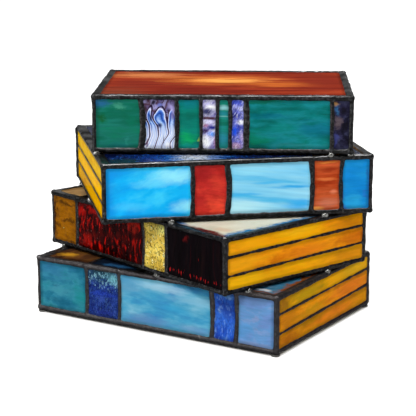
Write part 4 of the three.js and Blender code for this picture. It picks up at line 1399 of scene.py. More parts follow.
# Spine and cover glass, by the node that each pane stands for: tones, size of a wisp and patches.
GLASSES: dict[str, ArtGlass] = {
    "book_1_spine_teal": ArtGlass(
        ("#186380", "#22718c", "#32869b", "#247e8b"), (18, 12), (
            Patch(0.3, 0.85, 0.6, 0.3, "#31739a", 0.7), Patch(0.9, 0.35, 0.3, 0.35, "#1d888c", 0.7),
            Patch(0.45, 0.4, 0.3, 0.2, "#4997a9", 0.5)), slot="glass_teal"),
    "book_1_spine_cobalt_ripple": HammeredGlass(
        ("#16266c", "#203a88", "#30499c"), (7, 7), (
            Patch(0.5, 0.97, 0.9, 0.34, "#24485c", 1.0), Patch(0.9, 0.86, 0.3, 0.2, "#6cb0bc", 0.9),
            Patch(0.5, 0.5, 0.6, 0.1, "#2440b4", 0.7), Patch(0.5, 0.1, 0.6, 0.12, "#202c84", 0.6)),
        Relief.GRANITE, "glass_cobalt", crease_shade="#060c20", highlight_paint="#8cc4d4", dimple=1.7, tall=1.7,
        crease_shade_strength=0.8, highlight_paint_strength=0.85, highlight_paint_from=0.53, highlight_paint_soft=0.14, ragged=0.9, lit_from=0.6),
    "book_1_spine_sky": ArtGlass(
        ("#3685bb", "#429cc4", "#60adcb", "#7cbcd4"), (34, 11), (
            Patch(0.12, 0.8, 0.25, 0.3, "#5393bb", 0.7), Patch(0.5, 0.86, 0.4, 0.14, "#9bc6db", 0.85),
            Patch(0.82, 0.7, 0.4, 0.14, "#82bdd7", 0.7), Patch(0.62, 0.45, 0.3, 0.12, "#349eca", 0.7),
            Patch(0.3, 0.1, 0.4, 0.2, "#5c81b7", 0.7), Patch(0.85, 0.1, 0.3, 0.14, "#587ab7", 0.5)),
        slot="glass_sky", ragged=1.0, warp=1.8, streaks=0.06),
    "book_1_spine_cobalt": HammeredGlass(
        ("#2242a8", "#2658c6", "#356ed2"), (9, 14), (Patch(0.6, 0.6, 0.35, 0.3, "#2e4aa0", 0.6),
                                                    Patch(0.7, 0.95, 0.5, 0.12, "#6299d2", 0.8)),
        Relief.GRANITE, "glass_cobalt", crease_shade="#172683", highlight_paint="#89b5e5", dimple=2.6, tall=1.8,
        crease_shade_strength=0.5, highlight_paint_strength=0.55, highlight_paint_from=0.54, highlight_paint_soft=0.18),
    "book_1_spine_periwinkle": ArtGlass(
        ("#5f86bc", "#6c8ec6", "#6397cb", "#839bca"), (26, 12), (
            Patch(0.15, 0.25, 0.4, 0.25, "#5399d0", 0.7), Patch(0.5, 0.95, 0.7, 0.16, "#617fad", 0.7),
            Patch(0.5, 0.04, 0.6, 0.1, "#8fa4d2", 0.6)), slot="glass_periwinkle"),
    # Smoky amber glass; its dark brown is partly a painted reflection of book 2's ruby spine above it.
    "book_1_cover_amber": ArtGlass(
        ("#3c2415", "#563621", "#6e4620", "#472b19"), (18, 60), (
            Patch(0.24, 0.1, 0.26, 0.06, "#cc9426", 1.0), Patch(0.5, 0.2, 0.3, 0.06, "#8a5a20", 0.8),
            Patch(0.8, 0.12, 0.2, 0.1, "#50301a", 0.8), Patch(0.6, 0.02, 0.6, 0.05, "#2a160e", 0.9)),
        slot="glass_brown_amber"),
    # Dark with painted shade, as it lies under book 2; the lighter strip along its front edge is where the
    # painted shade ends.
    "book_1_cover_slate_blue": ArtGlass(
        ("#0c1018", "#121c2c", "#1e3450"), (12, 60), (
            Patch(0.55, 0.05, 0.45, 0.035, "#2c608e", 0.85),), slot="glass_steel_blue"),
    # The pale patches near its front are a painted highlight, and the brown strips along its right end and
    # its front a painted reflection of book 2's amber pages.
    "book_1_cover_blue": ArtGlass(
        ("#2c6482", "#3f7ea2", "#5c8cae"), (24, 40), (
            Patch(0.72, 0.06, 0.2, 0.03, "#dfe2e4", 0.9), Patch(0.6, 0.13, 0.2, 0.03, "#8cb8d4", 0.6),
            Patch(0.97, 0.3, 0.115, 1.2, "#844818", 1.0), Patch(0.6, 0.02, 0.7, 0.022, "#6c3c18", 1.0)),
        slot="glass_steel_blue", ragged=0.3),
    "book_2_spine_amber": ArtGlass(
        ("#774401", "#8e5701", "#985d02", "#804c01"), (12, 12), (
            Patch(0.65, 0.5, 0.5, 0.07, "#3f2301", 0.75), Patch(0.45, 0.86, 0.6, 0.07, "#382001", 0.8),
            Patch(0.0, 0.5, 0.16, 0.9, "#391c01", 0.9), Patch(0.2, 0.36, 0.2, 0.06, "#4d2c01", 0.7),
            Patch(0.55, 0.2, 0.3, 0.12, "#a66902", 0.7), Patch(0.5, 0.7, 0.3, 0.1, "#9e6101", 0.7),
            Patch(0.8, 0.06, 0.2, 0.06, "#442701", 0.8), Patch(0.4, 0.3, 0.05, 0.035, "#2b1601", 1.0),
            Patch(0.4, 0.3, 0.025, 0.015, "#ddcb66", 1.0)),
        Relief.RIPPLED, "glass_amber", streaks=0.3, warp=4.0),
    "book_2_spine_ruby_ripple": RubyGlass(
        ("#180102", "#320203", "#520604"), (9, 12), (
            Patch(0.08, 0.82, 0.16, 0.2, "#9d0d07", 0.8), Patch(0.24, 0.9, 0.1, 0.12, "#9d0d07", 0.7),
            Patch(0.88, 0.8, 0.14, 0.2, "#b22617", 0.8), Patch(0.15, 0.2, 0.12, 0.2, "#a51209", 0.7),
            Patch(0.45, 0.1, 0.2, 0.14, "#110101", 0.8), Patch(0.55, 0.7, 0.12, 0.14, "#160101", 0.7)),
        Relief.RIPPLED, "glass_ruby", thin="#c91409", thin_from=0.53, thin_strength=0.9, grain=(3.4, 10.0),
        highlight_paint_strength=0.2, bump=0.5, gloss=0.04, ragged=1.2),
    "book_2_spine_gold_hammered": HammeredGlass(
        ("#ddb648", "#f4d259", "#ffe46b"), (14, 14), (
            Patch(0.9, 0.9, 0.5, 0.2, "#ffff94", 0.8), Patch(0.6, 0.1, 0.8, 0.3, "#b8962e", 0.5)),
        Relief.HAMMERED, "glass_gold", crease_shade="#604a12", highlight_paint="#ffffbb", dimple=3.0, crease_shade_strength=1.0,
        highlight_paint_strength=0.9, bump=0.6),
    "book_2_spine_dark_ruby": RubyGlass(
        ("#060204", "#0a0408", "#120608"), (8, 60), (
            Patch(0.36, 0.86, 0.05, 0.1, "#5f0b0c", 0.7),), Relief.RIPPLED, "glass_dark_ruby",
        thin="#aa1614", thin_from=0.62, grain=(2.0, 60.0), thin_strength=0.03, thick="#040203",
        foot_ticks=0.9, gloss=0.03),
    # Cream glass like the rest of the cover, painted tan: painted shade under book 3 and a painted reflection
    # of book 3's amber pages.
    "book_2_cover_tan": ArtGlass(
        ("#775936", "#a38559", "#bba47f"), (14, 50), slot="glass_tan"),
    "book_2_cover_cream": ArtGlass(
        # The brownish cloud at its left end is painted shade under book 3; the blue strip along its right end
        # and the dark red and blue strips along its front are painted reflections of book 3's spine.
        ("#d2ccb0", "#e4dec6", "#f0ecda"), (40, 60), (
            Patch(0.1, 0.25, 0.2, 0.5, "#b6a78a", 0.6), Patch(0.72, 0.1, 0.2, 0.06, "#dcbc98", 0.6),
            Patch(0.97, 0.3, 0.115, 1.2, "#1c78ac", 1.0), Patch(0.62, 0.022, 0.6, 0.034, "#681c1e", 1.0),
            Patch(0.1, 0.03, 0.25, 0.034, "#2a6cb0", 0.95)),
        slot="glass_cream", streaks=0.06, ragged=0.3),
    # Paler towards the right with a painted softbox reflection, deeper blue towards the left.
    "book_3_spine_azure": ArtGlass(
        ("#0fa5f4", "#15bafb", "#3bcefd"), (30, 15), (
            Patch(0.0, 0.5, 0.2, 0.9, "#0f8de4", 0.8), Patch(0.1, 0.95, 0.5, 0.2, "#1795e8", 0.7),
            Patch(0.8, 0.8, 0.4, 0.24, "#9aefff", 0.85), Patch(0.5, 0.66, 0.3, 0.14, "#69dbff", 0.7),
            Patch(0.95, 0.2, 0.25, 0.18, "#98ebff", 0.8), Patch(0.3, 0.22, 0.3, 0.14, "#55d2ff", 0.5),
            Patch(0.5, 0.0, 0.8, 0.12, "#1393e8", 0.6)),
        slot="glass_azure", warp=2.2, slant=-18.0, ragged=0.8, streaks=0.04),
    # The orange cloud low on the right is a painted glow of light shining through the glass.
    "book_3_spine_red": ArtGlass(
        ("#a9211d", "#bd2b26", "#ce392b"), (14, 12), (
            Patch(0.2, 0.85, 0.7, 0.25, "#991d20", 0.7), Patch(0.75, 0.18, 0.4, 0.3, "#e64a32", 0.8),
            Patch(0.25, 0.25, 0.3, 0.2, "#ad2726", 0.5)),
        slot="glass_red", streaks=0.2),
    "book_3_spine_pale_blue": ArtGlass(
        ("#50bceb", "#7ccef1", "#91d9f5", "#9edff7"), (110, 10), (
            Patch(0.88, 0.14, 0.25, 0.14, "#35b2f3", 0.9), Patch(0.8, 0.5, 0.4, 0.05, "#2cabec", 0.95),
            Patch(0.5, 0.6, 0.3, 0.045, "#49bbf0", 0.85), Patch(0.2, 0.38, 0.3, 0.045, "#43b5ee", 0.8),
            Patch(0.12, 0.14, 0.5, 0.2, "#bdf0fc", 0.8), Patch(0.2, 0.85, 0.5, 0.16, "#97e1f7", 0.6)),
        slot="glass_pale_blue", slant=7.0, streaks=0.06, warp=0.7, ragged=1.1),
    "book_3_spine_orange": ArtGlass(
        ("#9e2f0e", "#b6441d", "#c5572c", "#ac3c1b"), (40, 9), (
            Patch(0.6, 0.14, 0.6, 0.14, "#c97659", 0.8), Patch(0.5, 0.63, 0.55, 0.05, "#e2773c", 0.95),
            Patch(0.3, 0.5, 0.4, 0.06, "#932d09", 0.6), Patch(0.6, 0.82, 0.5, 0.08, "#8d270c", 0.8),
            Patch(0.5, 0.96, 0.6, 0.03, "#ea8638", 0.9), Patch(0.04, 0.3, 0.08, 0.35, "#ee8830", 0.8),
            Patch(0.75, 0.36, 0.16, 0.07, "#e2825c", 0.8), Patch(0.15, 0.04, 0.4, 0.06, "#ee9e4a", 0.9)),
        slot="glass_orange", ragged=0.9, streaks=0.2, warp=0.9),
    "book_3_spine_blue": ArtGlass(
        ("#0f82ce", "#148bd4", "#209dda"), (30, 16), (
            Patch(0.0, 0.1, 0.15, 0.5, "#3b72cc", 0.7), Patch(0.95, 0.5, 0.12, 0.7, "#2b6ac2", 0.6),
            Patch(0.5, 0.15, 0.5, 0.25, "#2ba9de", 0.7)), slot="glass_blue"),
    # The bright blue cloud with a white core near the middle and the dark green at the left end are painted
    # reflections of book 4's spine glass.
    "book_3_cover_cobalt": HammeredGlass(
        ("#060e34", "#0b1a50", "#122c74"), (16, 12), (
            Patch(0.3, 0.1, 0.3, 0.24, "#1c50b4", 0.8), Patch(0.335, 0.08, 0.16, 0.18, "#2e94f0", 1.0),
            Patch(0.34, 0.078, 0.11, 0.15, "#ffffff", 0.85), Patch(0.06, 0.05, 0.1, 0.1, "#0c3c3c", 0.8),
            Patch(0.85, 0.1, 0.25, 0.2, "#070f30", 0.7)), Relief.RIPPLED, "glass_dark_cobalt",
        crease_shade="#04081c", highlight_paint="#3c84e0", dimple=3.2, highlight_paint_strength=0.55, crease_shade_strength=0.9, bump=0.8,
        gloss=0.7, ragged=1.8, warp=3.0),
    "book_4_spine_green": ArtGlass(
        ("#085e43", "#0d6752", "#197465", "#10765a"), (44, 10), (
            Patch(0.06, 0.94, 0.3, 0.2, "#266197", 0.8), Patch(0.14, 0.6, 0.25, 0.14, "#12541d", 0.8),
            Patch(0.5, 0.85, 0.25, 0.1, "#439a7e", 0.7), Patch(0.5, 0.04, 0.6, 0.15, "#17706e", 0.7),
            Patch(0.72, 0.14, 0.1, 0.14, "#2e8f83", 0.6), Patch(0.85, 0.5, 0.2, 0.2, "#0a765a", 0.5)),
        slot="glass_green"),
    "book_4_spine_violet_ripple": WaveGlass(
        ("#8488d4", "#abaee6", "#cfdbf1"), (5, 14), (
            Patch(0.34, 0.62, 0.07, 0.11, "#22264c", 0.95), Patch(0.56, 0.46, 0.1, 0.07, "#1e2658", 0.95),
            Patch(0.9, 0.66, 0.09, 0.14, "#7a6ca4", 0.8),
            Patch(0.67, 0.16, 0.022, 0.16, "#3a2c4c", 0.9), Patch(0.1, 0.1, 0.05, 0.12, "#5c3a54", 0.9),
            Patch(0.12, 0.82, 0.14, 0.07, "#3c2830", 0.9), Patch(0.38, 0.95, 0.14, 0.08, "#241c30", 0.9),
            Patch(0.62, 0.9, 0.12, 0.06, "#6c78c4", 0.9), Patch(0.92, 0.84, 0.12, 0.16, "#a49cd4", 0.9),
            Patch(0.8, 0.08, 0.14, 0.1, "#ffffff", 0.8)),
        Relief.RIPPLED, "glass_violet", bump=0.5, gloss=0.12,
        flame=8.8, shift=-0.5, shoulder=0.47, arch=0.42, sway=5.6, lean=0.12, grit=0.1, ragged=0.8),
    "book_4_spine_green_band": ArtGlass(
        ("#066c5f", "#087a6a", "#0c866a"), (40, 12), (
            Patch(0.5, 0.96, 0.8, 0.2, "#0c7e89", 0.8), Patch(0.5, 0.68, 0.8, 0.1, "#056454", 0.7),
            Patch(0.4, 0.2, 0.5, 0.22, "#0aa05b", 0.9), Patch(0.94, 0.2, 0.14, 0.1, "#9acb50", 0.9),
            Patch(0.6, 0.02, 0.6, 0.12, "#0e8e89", 0.6)), slot="glass_green"),
    "book_4_spine_violet_band": HammeredGlass(
        ("#7a72b8", "#b4b0e0", "#eceefc"), (3.0, 12), (
            Patch(0.62, 0.85, 0.6, 0.09, "#fbfcff", 1.0), Patch(0.36, 0.75, 0.6, 0.13, "#343866", 1.0),
            Patch(0.5, 0.625, 1.2, 0.045, "#4a2432", 1.0), Patch(0.5, 0.55, 0.7, 0.06, "#dcd8f2", 0.9),
            Patch(0.28, 0.48, 0.35, 0.06, "#c080a0", 0.8), Patch(0.72, 0.44, 0.5, 0.07, "#242c88", 1.0),
            Patch(0.24, 0.37, 0.42, 0.07, "#38225c", 1.0), Patch(0.7, 0.3, 0.4, 0.09, "#5494f0", 0.9),
            Patch(0.3, 0.14, 0.5, 0.2, "#fdfeff", 1.0), Patch(0.92, 0.14, 0.2, 0.2, "#d49cbc", 0.8)),
        Relief.RIPPLED, "glass_violet", warp=0.8, bump=0.5, gloss=0.12, slant=38.0, ragged=0.6,
        crease_shade="#2a1e40", highlight_paint="#ffffff", dimple=2.0, tall=2.6, crease_shade_strength=0.4, highlight_paint_strength=0.3,
        highlight_paint_from=0.57),
    "book_4_spine_green_strip": ArtGlass(
        ("#11735a", "#178372", "#227f8b"), (40, 9), (
            Patch(0.5, 0.84, 1.2, 0.07, "#8bc4c9", 0.9), Patch(0.5, 0.66, 1.2, 0.02, "#7bc0bd", 0.7),
            Patch(0.5, 0.52, 1.2, 0.08, "#096451", 0.8), Patch(0.5, 0.2, 1.2, 0.24, "#28839c", 0.8)),
        slot="glass_green", warp=1.0),
    "book_4_spine_violet_strip": HammeredGlass(
        ("#3840a0", "#606ac8", "#a0a4e4"), (3, 8), (
            Patch(0.28, 0.36, 0.45, 0.16, "#1850e0", 1.0), Patch(0.7, 0.55, 0.4, 0.08, "#f6f8ff", 0.95),
            Patch(0.3, 0.68, 0.5, 0.08, "#282c80", 0.9), Patch(0.4, 0.06, 0.7, 0.12, "#d0a8c4", 0.9),
            Patch(0.85, 0.24, 0.3, 0.16, "#c8b4e0", 0.85), Patch(0.5, 0.95, 0.8, 0.07, "#4058d8", 0.8),
            Patch(0.7, 0.82, 0.4, 0.07, "#c4c8f4", 0.85)),
        Relief.RIPPLED, "glass_violet", warp=0.8, bump=0.5, gloss=0.12, slant=30.0, ragged=0.6,
        crease_shade="#201848", highlight_paint="#eef0ff", dimple=2.1, tall=2.2, crease_shade_strength=0.6, highlight_paint_strength=0.5,
        highlight_paint_from=0.56),
    "book_4_spine_sea_green": ArtGlass(
        ("#035852", "#076d6a", "#158088", "#046d58"), (38, 11), (
            Patch(0.2, 0.96, 0.3, 0.1, "#045e38", 0.7), Patch(0.25, 0.66, 0.4, 0.1, "#045b7c", 0.5),
            Patch(0.12, 0.22, 0.25, 0.2, "#047b52", 0.6), Patch(0.4, 0.42, 0.25, 0.12, "#067969", 0.5),
            Patch(0.85, 0.42, 0.4, 0.22, "#0a6787", 0.6), Patch(0.7, 0.06, 0.5, 0.06, "#247d83", 0.6),
            Patch(0.6, 0.76, 0.5, 0.06, "#0d7b7c", 0.5)),
        slot="glass_sea_green"),
    "book_4_spine_plum": ArtGlass(
        ("#161421", "#24223c", "#373954"), (7, 9), (
            Patch(0.3, 0.55, 0.5, 0.2, "#5f5156", 0.8), Patch(0.25, 0.93, 0.3, 0.07, "#a27849", 0.9),
            Patch(0.4, 0.8, 0.3, 0.14, "#326699", 0.8), Patch(0.25, 0.2, 0.4, 0.16, "#383f83", 0.7),
            Patch(0.85, 0.4, 0.2, 0.6, "#0d0d1a", 0.8)),
        Relief.RIPPLED, "glass_plum", streaks=0.3),
    "book_4_cover_orange": ArtGlass(
        ("#742218", "#8c2e1c", "#a23a20", "#b04426"), (90, 13), (
            Patch(0.14, 0.82, 0.24, 0.16, "#e08850", 0.95), Patch(0.14, 0.45, 0.26, 0.25, "#8a2e20", 0.8),
            Patch(0.08, 0.12, 0.2, 0.3, "#84402c", 0.85), Patch(0.34, 0.2, 0.3, 0.3, "#78221a", 0.85),
            Patch(0.5, 0.62, 0.34, 0.24, "#e8863c", 0.95), Patch(0.52, 0.6, 0.2, 0.12, "#ffb45c", 0.9),
            Patch(0.74, 0.45, 0.24, 0.16, "#d8702e", 0.85), Patch(0.6, 0.95, 0.5, 0.08, "#741e16", 0.9),
            Patch(0.92, 0.6, 0.16, 0.5, "#8a2e20", 0.85), Patch(0.5, 0.02, 0.6, 0.08, "#581c18", 0.8)),
        Relief.STREAKY, "glass_orange", warp=2.0, spread=(0.34, 0.66), streaks=0.2, ragged=2.6),
}

# Amber tones of the page strips that show most, from the lowest up, then of all others, and their patches.
PAGE_TONES: dict[str, tuple[tuple[str, ...], ...]] = {
    "book_1_right": (("#d9880b", "#eea111", "#c77b0d"), ("#f5990b", "#ffa713", "#e77c13"),
                     ("#da980d", "#ffb50c", "#ffb70f")),
    "book_2_right": (("#ffaa0b", "#ffb80d", "#fca40f"), ("#ffaf0c", "#ffa30f", "#e07b0a"),
                     ("#ffaa07", "#ffb807", "#fd9f0b")),
    "book_3_left": (("#de9e03", "#e9ac04", "#d59001"), ("#ffb60b", "#ffc614", "#ffae09"),
                    ("#e5ac08", "#efbf19", "#e1a60e")),
}
PLAIN_PAGES = (("#d89008", "#e6a40e", "#d0840a"), ("#dc8c10", "#e89c18", "#d0800c"),
               ("#d48e08", "#e49e0e", "#d68608"))
PAGE_PATCHES: dict[str, tuple[tuple[Patch, ...], ...]] = {
    "book_1_right": (
        (Patch(0.1, 0.4, 0.2, 0.7, "#ba6613", 0.8), Patch(0.6, 0.5, 0.4, 0.8, "#f78920", 0.7),
         Patch(0.35, 0.8, 0.2, 0.4, "#cb9411", 0.6)),
        (Patch(0.1, 0.5, 0.2, 0.8, "#cb7c13", 0.8), Patch(0.35, 0.3, 0.25, 0.5, "#cb9913", 0.7),
         Patch(0.8, 0.5, 0.35, 0.9, "#f58124", 0.8)),
        (Patch(0.04, 0.5, 0.12, 0.9, "#895517", 0.8), Patch(0.3, 0.5, 0.3, 0.8, "#ba9913", 0.8),
         Patch(0.85, 0.6, 0.25, 0.8, "#f3c020", 0.8))),
    "book_2_right": (
        (Patch(0.9, 0.5, 0.4, 0.9, "#dc8c16", 0.8), Patch(0.15, 0.5, 0.25, 0.8, "#ffc512", 0.7)),
        (Patch(0.1, 0.6, 0.25, 0.8, "#f6aa16", 0.8), Patch(0.6, 0.4, 0.3, 0.7, "#e97b1a", 0.7),
         Patch(0.95, 0.5, 0.3, 0.9, "#c76212", 0.8)),
        (Patch(0.1, 0.5, 0.3, 0.8, "#faaa12", 0.7), Patch(0.5, 0.7, 0.2, 0.4, "#febf1a", 0.7),
         Patch(0.85, 0.4, 0.3, 0.8, "#e98a12", 0.8))),
}


@dataclass
class GlassBook:
    """One book: its skeleton, its spine and cover panes and its page strips."""

    book: Book
    seed: float

    # Seeds of spine, cover and page panes, after the book's own. They only have to differ from pane to pane.
    SPINE_STEP = 3.1
    COVER_SEED = 40
    COVER_STEP = 2.3
    PAGE_SEED = 70
    PAGE_STEP = 1.9
    # Length and height of a wisp in the glass of the pages.
    PAGE_WISP = (34, 13)

    def spine_panes(self) -> list[Pane]:
        """The panes of the spine, between its bowed seams.

        Returns:
            The panes from left to right.
        """
        prefix = f"{self.book.name}_spine_"
        names = [name for name in GLASSES if name.startswith(prefix)]
        edges = [0.0, *self.book.seams, 1.0]
        bows = [0.0, *self.book.bows, 0.0]
        last = len(edges) - 1
        low, high = CORNER_INSET, self.book.height - CORNER_INSET
        panes = []
        for i, name in enumerate(names):
            left_inset = CORNER_INSET if i == 0 else SEAM_INSET
            right_inset = CORNER_INSET if i + 1 == last else SEAM_INSET
            outline = Outline(edges[i] * self.book.length + left_inset,
                              edges[i + 1] * self.book.length - right_inset,
                              (low, low), (high, high),
                              bows[i] * self.book.height, bows[i + 1] * self.book.height)
            panes.append(Pane(f"{name}_pane", self.book, Side.SPINE, outline, GLASSES[name], (name,),
                              self.seed + i * self.SPINE_STEP))
        return panes

    def cover_panes(self) -> list[Pane]:
        """The pieces of the cover.

        Returns:
            The panes from left to right.
        """
        prefix = f"{self.book.name}_cover_"
        names = [name for name in GLASSES if name.startswith(prefix)]
        low, high = CORNER_INSET, self.book.width - CORNER_INSET
        panes = []
        for i, (name, (start, end)) in enumerate(zip(names, self.book.cover_cuts)):
            ends = [band - SEAM_INSET if band > RIM_BAND else CORNER_INSET for band in self.book.end_bands]
            left = start * self.book.length + (ends[0] if start == 0 else SEAM_INSET)
            right = end * self.book.length - (ends[1] if end == 1 else SEAM_INSET)
            outline = Outline(left, right, (low, low), (high, high))
            panes.append(Pane(f"{name}_pane", self.book, Side.COVER, outline, GLASSES[name], (name,),
                              self.seed + self.COVER_SEED + i * self.COVER_STEP))
        return panes

    def page_strips(self) -> list[Pane]:
        """Three strips on each side that shows pages.

        Returns:
            The strips side by side and from the lowest up.
        """
        strips = []
        for side in (Side.RIGHT, Side.BACK, Side.LEFT):
            face = self.book.face(side)
            seams = [page_heights(side, near, far) for near, far in self.book.pages]
            lows = [(CORNER_INSET,) * 2] + [tuple(h * face.rise + SEAM_INSET for h in seam) for seam in seams]
            highs = [tuple(h * face.rise - SEAM_INSET for h in seam) for seam in seams]
            highs.append((face.rise - CORNER_INSET,) * 2)
            key = f"{self.book.name}_{side.value}"
            node = f"{self.book.name}_pages_{side.value}"
            tones = PAGE_TONES.get(key, PLAIN_PAGES)
            patches = PAGE_PATCHES.get(key, ((), (), ()))
            for i, (low, high) in enumerate(zip(lows, highs)):
                outline = Outline(CORNER_INSET, face.span - CORNER_INSET, low, high)
                glass = ArtGlass(tones[i], self.PAGE_WISP, patches[i], slot="glass_page_amber", gloss=0.03,
                                 streaks=0.12, ragged=0.9)
                seed = self.seed + self.PAGE_SEED + i * self.PAGE_STEP + len(side.value)
                strips.append(Pane(f"{node}_strip_{i + 1}", self.book, side, outline, glass, (node,), seed))
        return strips

    def build(self, solder: bpy.types.Material, points: Sequence[Vector]) -> None:
        """Builds every piece of the book.

        Args:
            solder: The solder's finish.
            points: Where the next book is tacked on, in this book's frame.
        """
        for pane in [*self.spine_panes(), *self.cover_panes(), *self.page_strips()]:
            pane.build()
        SolderSkeleton(self.book).build(solder, points)


def crossings(lower: Book, upper: Book) -> list[Vector]:
    """Where the bottom edges of a book cross the top edges of the one under it.

    Args:
        lower: The book below.
        upper: The book on it.

    Returns:
        The points in the lower book's frame, half way up the gap between the two.
    """
    into = lower.place().inverted() @ upper.place()
    low = [corner.to_2d() for corner in lower.corners()]
    high = [(into @ corner).to_2d() for corner in upper.corners()]
    found: list[Vector] = []
    for i, a in enumerate(low):
        run = low[(i + 1) % len(low)] - a
        for j, b in enumerate(high):
            other = high[(j + 1) % len(high)] - b
            slant = run.cross(other)
            s, t = (b - a).cross(other) / slant, (b - a).cross(run) / slant
            point = a + run * s
            apart = all((point - one.to_2d()).length > TACK_APART for one in found)
            if 0 < s < 1 and 0 < t < 1 and apart:
                found.append(Vector((point.x, point.y, lower.height + STACK_GAP * HALF)))
    return found


def build_tacks(lower: Book, points: Sequence[Vector], material: bpy.types.Material) -> None:
    """Drops the bright lumps that tack a book to the one on it.

    Args:
        lower: The book below.
        points: The places, in its frame.
        material: Freshly melted solder.
    """
    shape = bmesh.new()
    for i, point in enumerate(points):
        made = bmesh.ops.create_icosphere(shape, subdivisions=4, radius=TACK_LUMP)
        for vert in made["verts"]:
            dent = noise.noise(vert.co / TACK_LUMP * TACK_GRAIN + Vector((i * TACK_STEP, lower.turn, 0)))
            vert.co *= 1 + TACK_DENT * dent
            vert.co.z *= TACK_SQUASH
        bmesh.ops.translate(shape, verts=made["verts"], vec=point)
    bmesh.ops.transform(shape, matrix=lower.place(), verts=shape.verts)
    name = f"{lower.name}_tack_solder"
    mesh = bpy.data.meshes.new(name)
    shape.to_mesh(mesh)
    shape.free()
    finish_piece(name, mesh, material, "lamp")


@dataclass(frozen=True)
class Softbox:
    """A rectangular lamp, in metres and watts.

    One for glints only shows as highlights and leaves the colours alone.
    """

    name: str
    place: tuple[float, float, float]
    size: tuple[float, float]
    power: float
    glints_only: bool = False

    AIM = (0.0, 0.0, 0.1)

    def hang(self) -> None:
        """Hangs the softbox so that it faces the object."""
        data = bpy.data.lights.new(self.name, "AREA")
        data.shape = "RECTANGLE"
        data.size, data.size_y = self.size
        data.energy = self.power
        light = bpy.data.objects.new(self.name, data)
        light.location = self.place
        aim = Vector(self.AIM) - Vector(self.place)
        light.rotation_euler = aim.to_track_quat("-Z", "Y").to_euler()
        light.visible_diffuse = not self.glints_only
        bpy.context.scene.collection.objects.link(light)


SOFTBOXES = (
    Softbox("front_softbox", (-0.5, -1.6, 1.5), (0.6, 0.3), 22.0),
    Softbox("overhead_strip", (0.0, -0.3, 1.4), (1.9, 0.12), 55.0, True),
    Softbox("left_glint", (-1.3, -0.9, 0.5), (0.1, 1.0), 16.0, True),
    Softbox("back_softbox", (0.5, 1.6, 1.2), (0.6, 0.3), 9.0),
    Softbox("left_strip", (-1.5, -0.7, 0.9), (0.16, 1.2), 6.0),
    Softbox("right_strip", (1.5, -0.9, 0.7), (0.16, 1.2), 6.0),
)


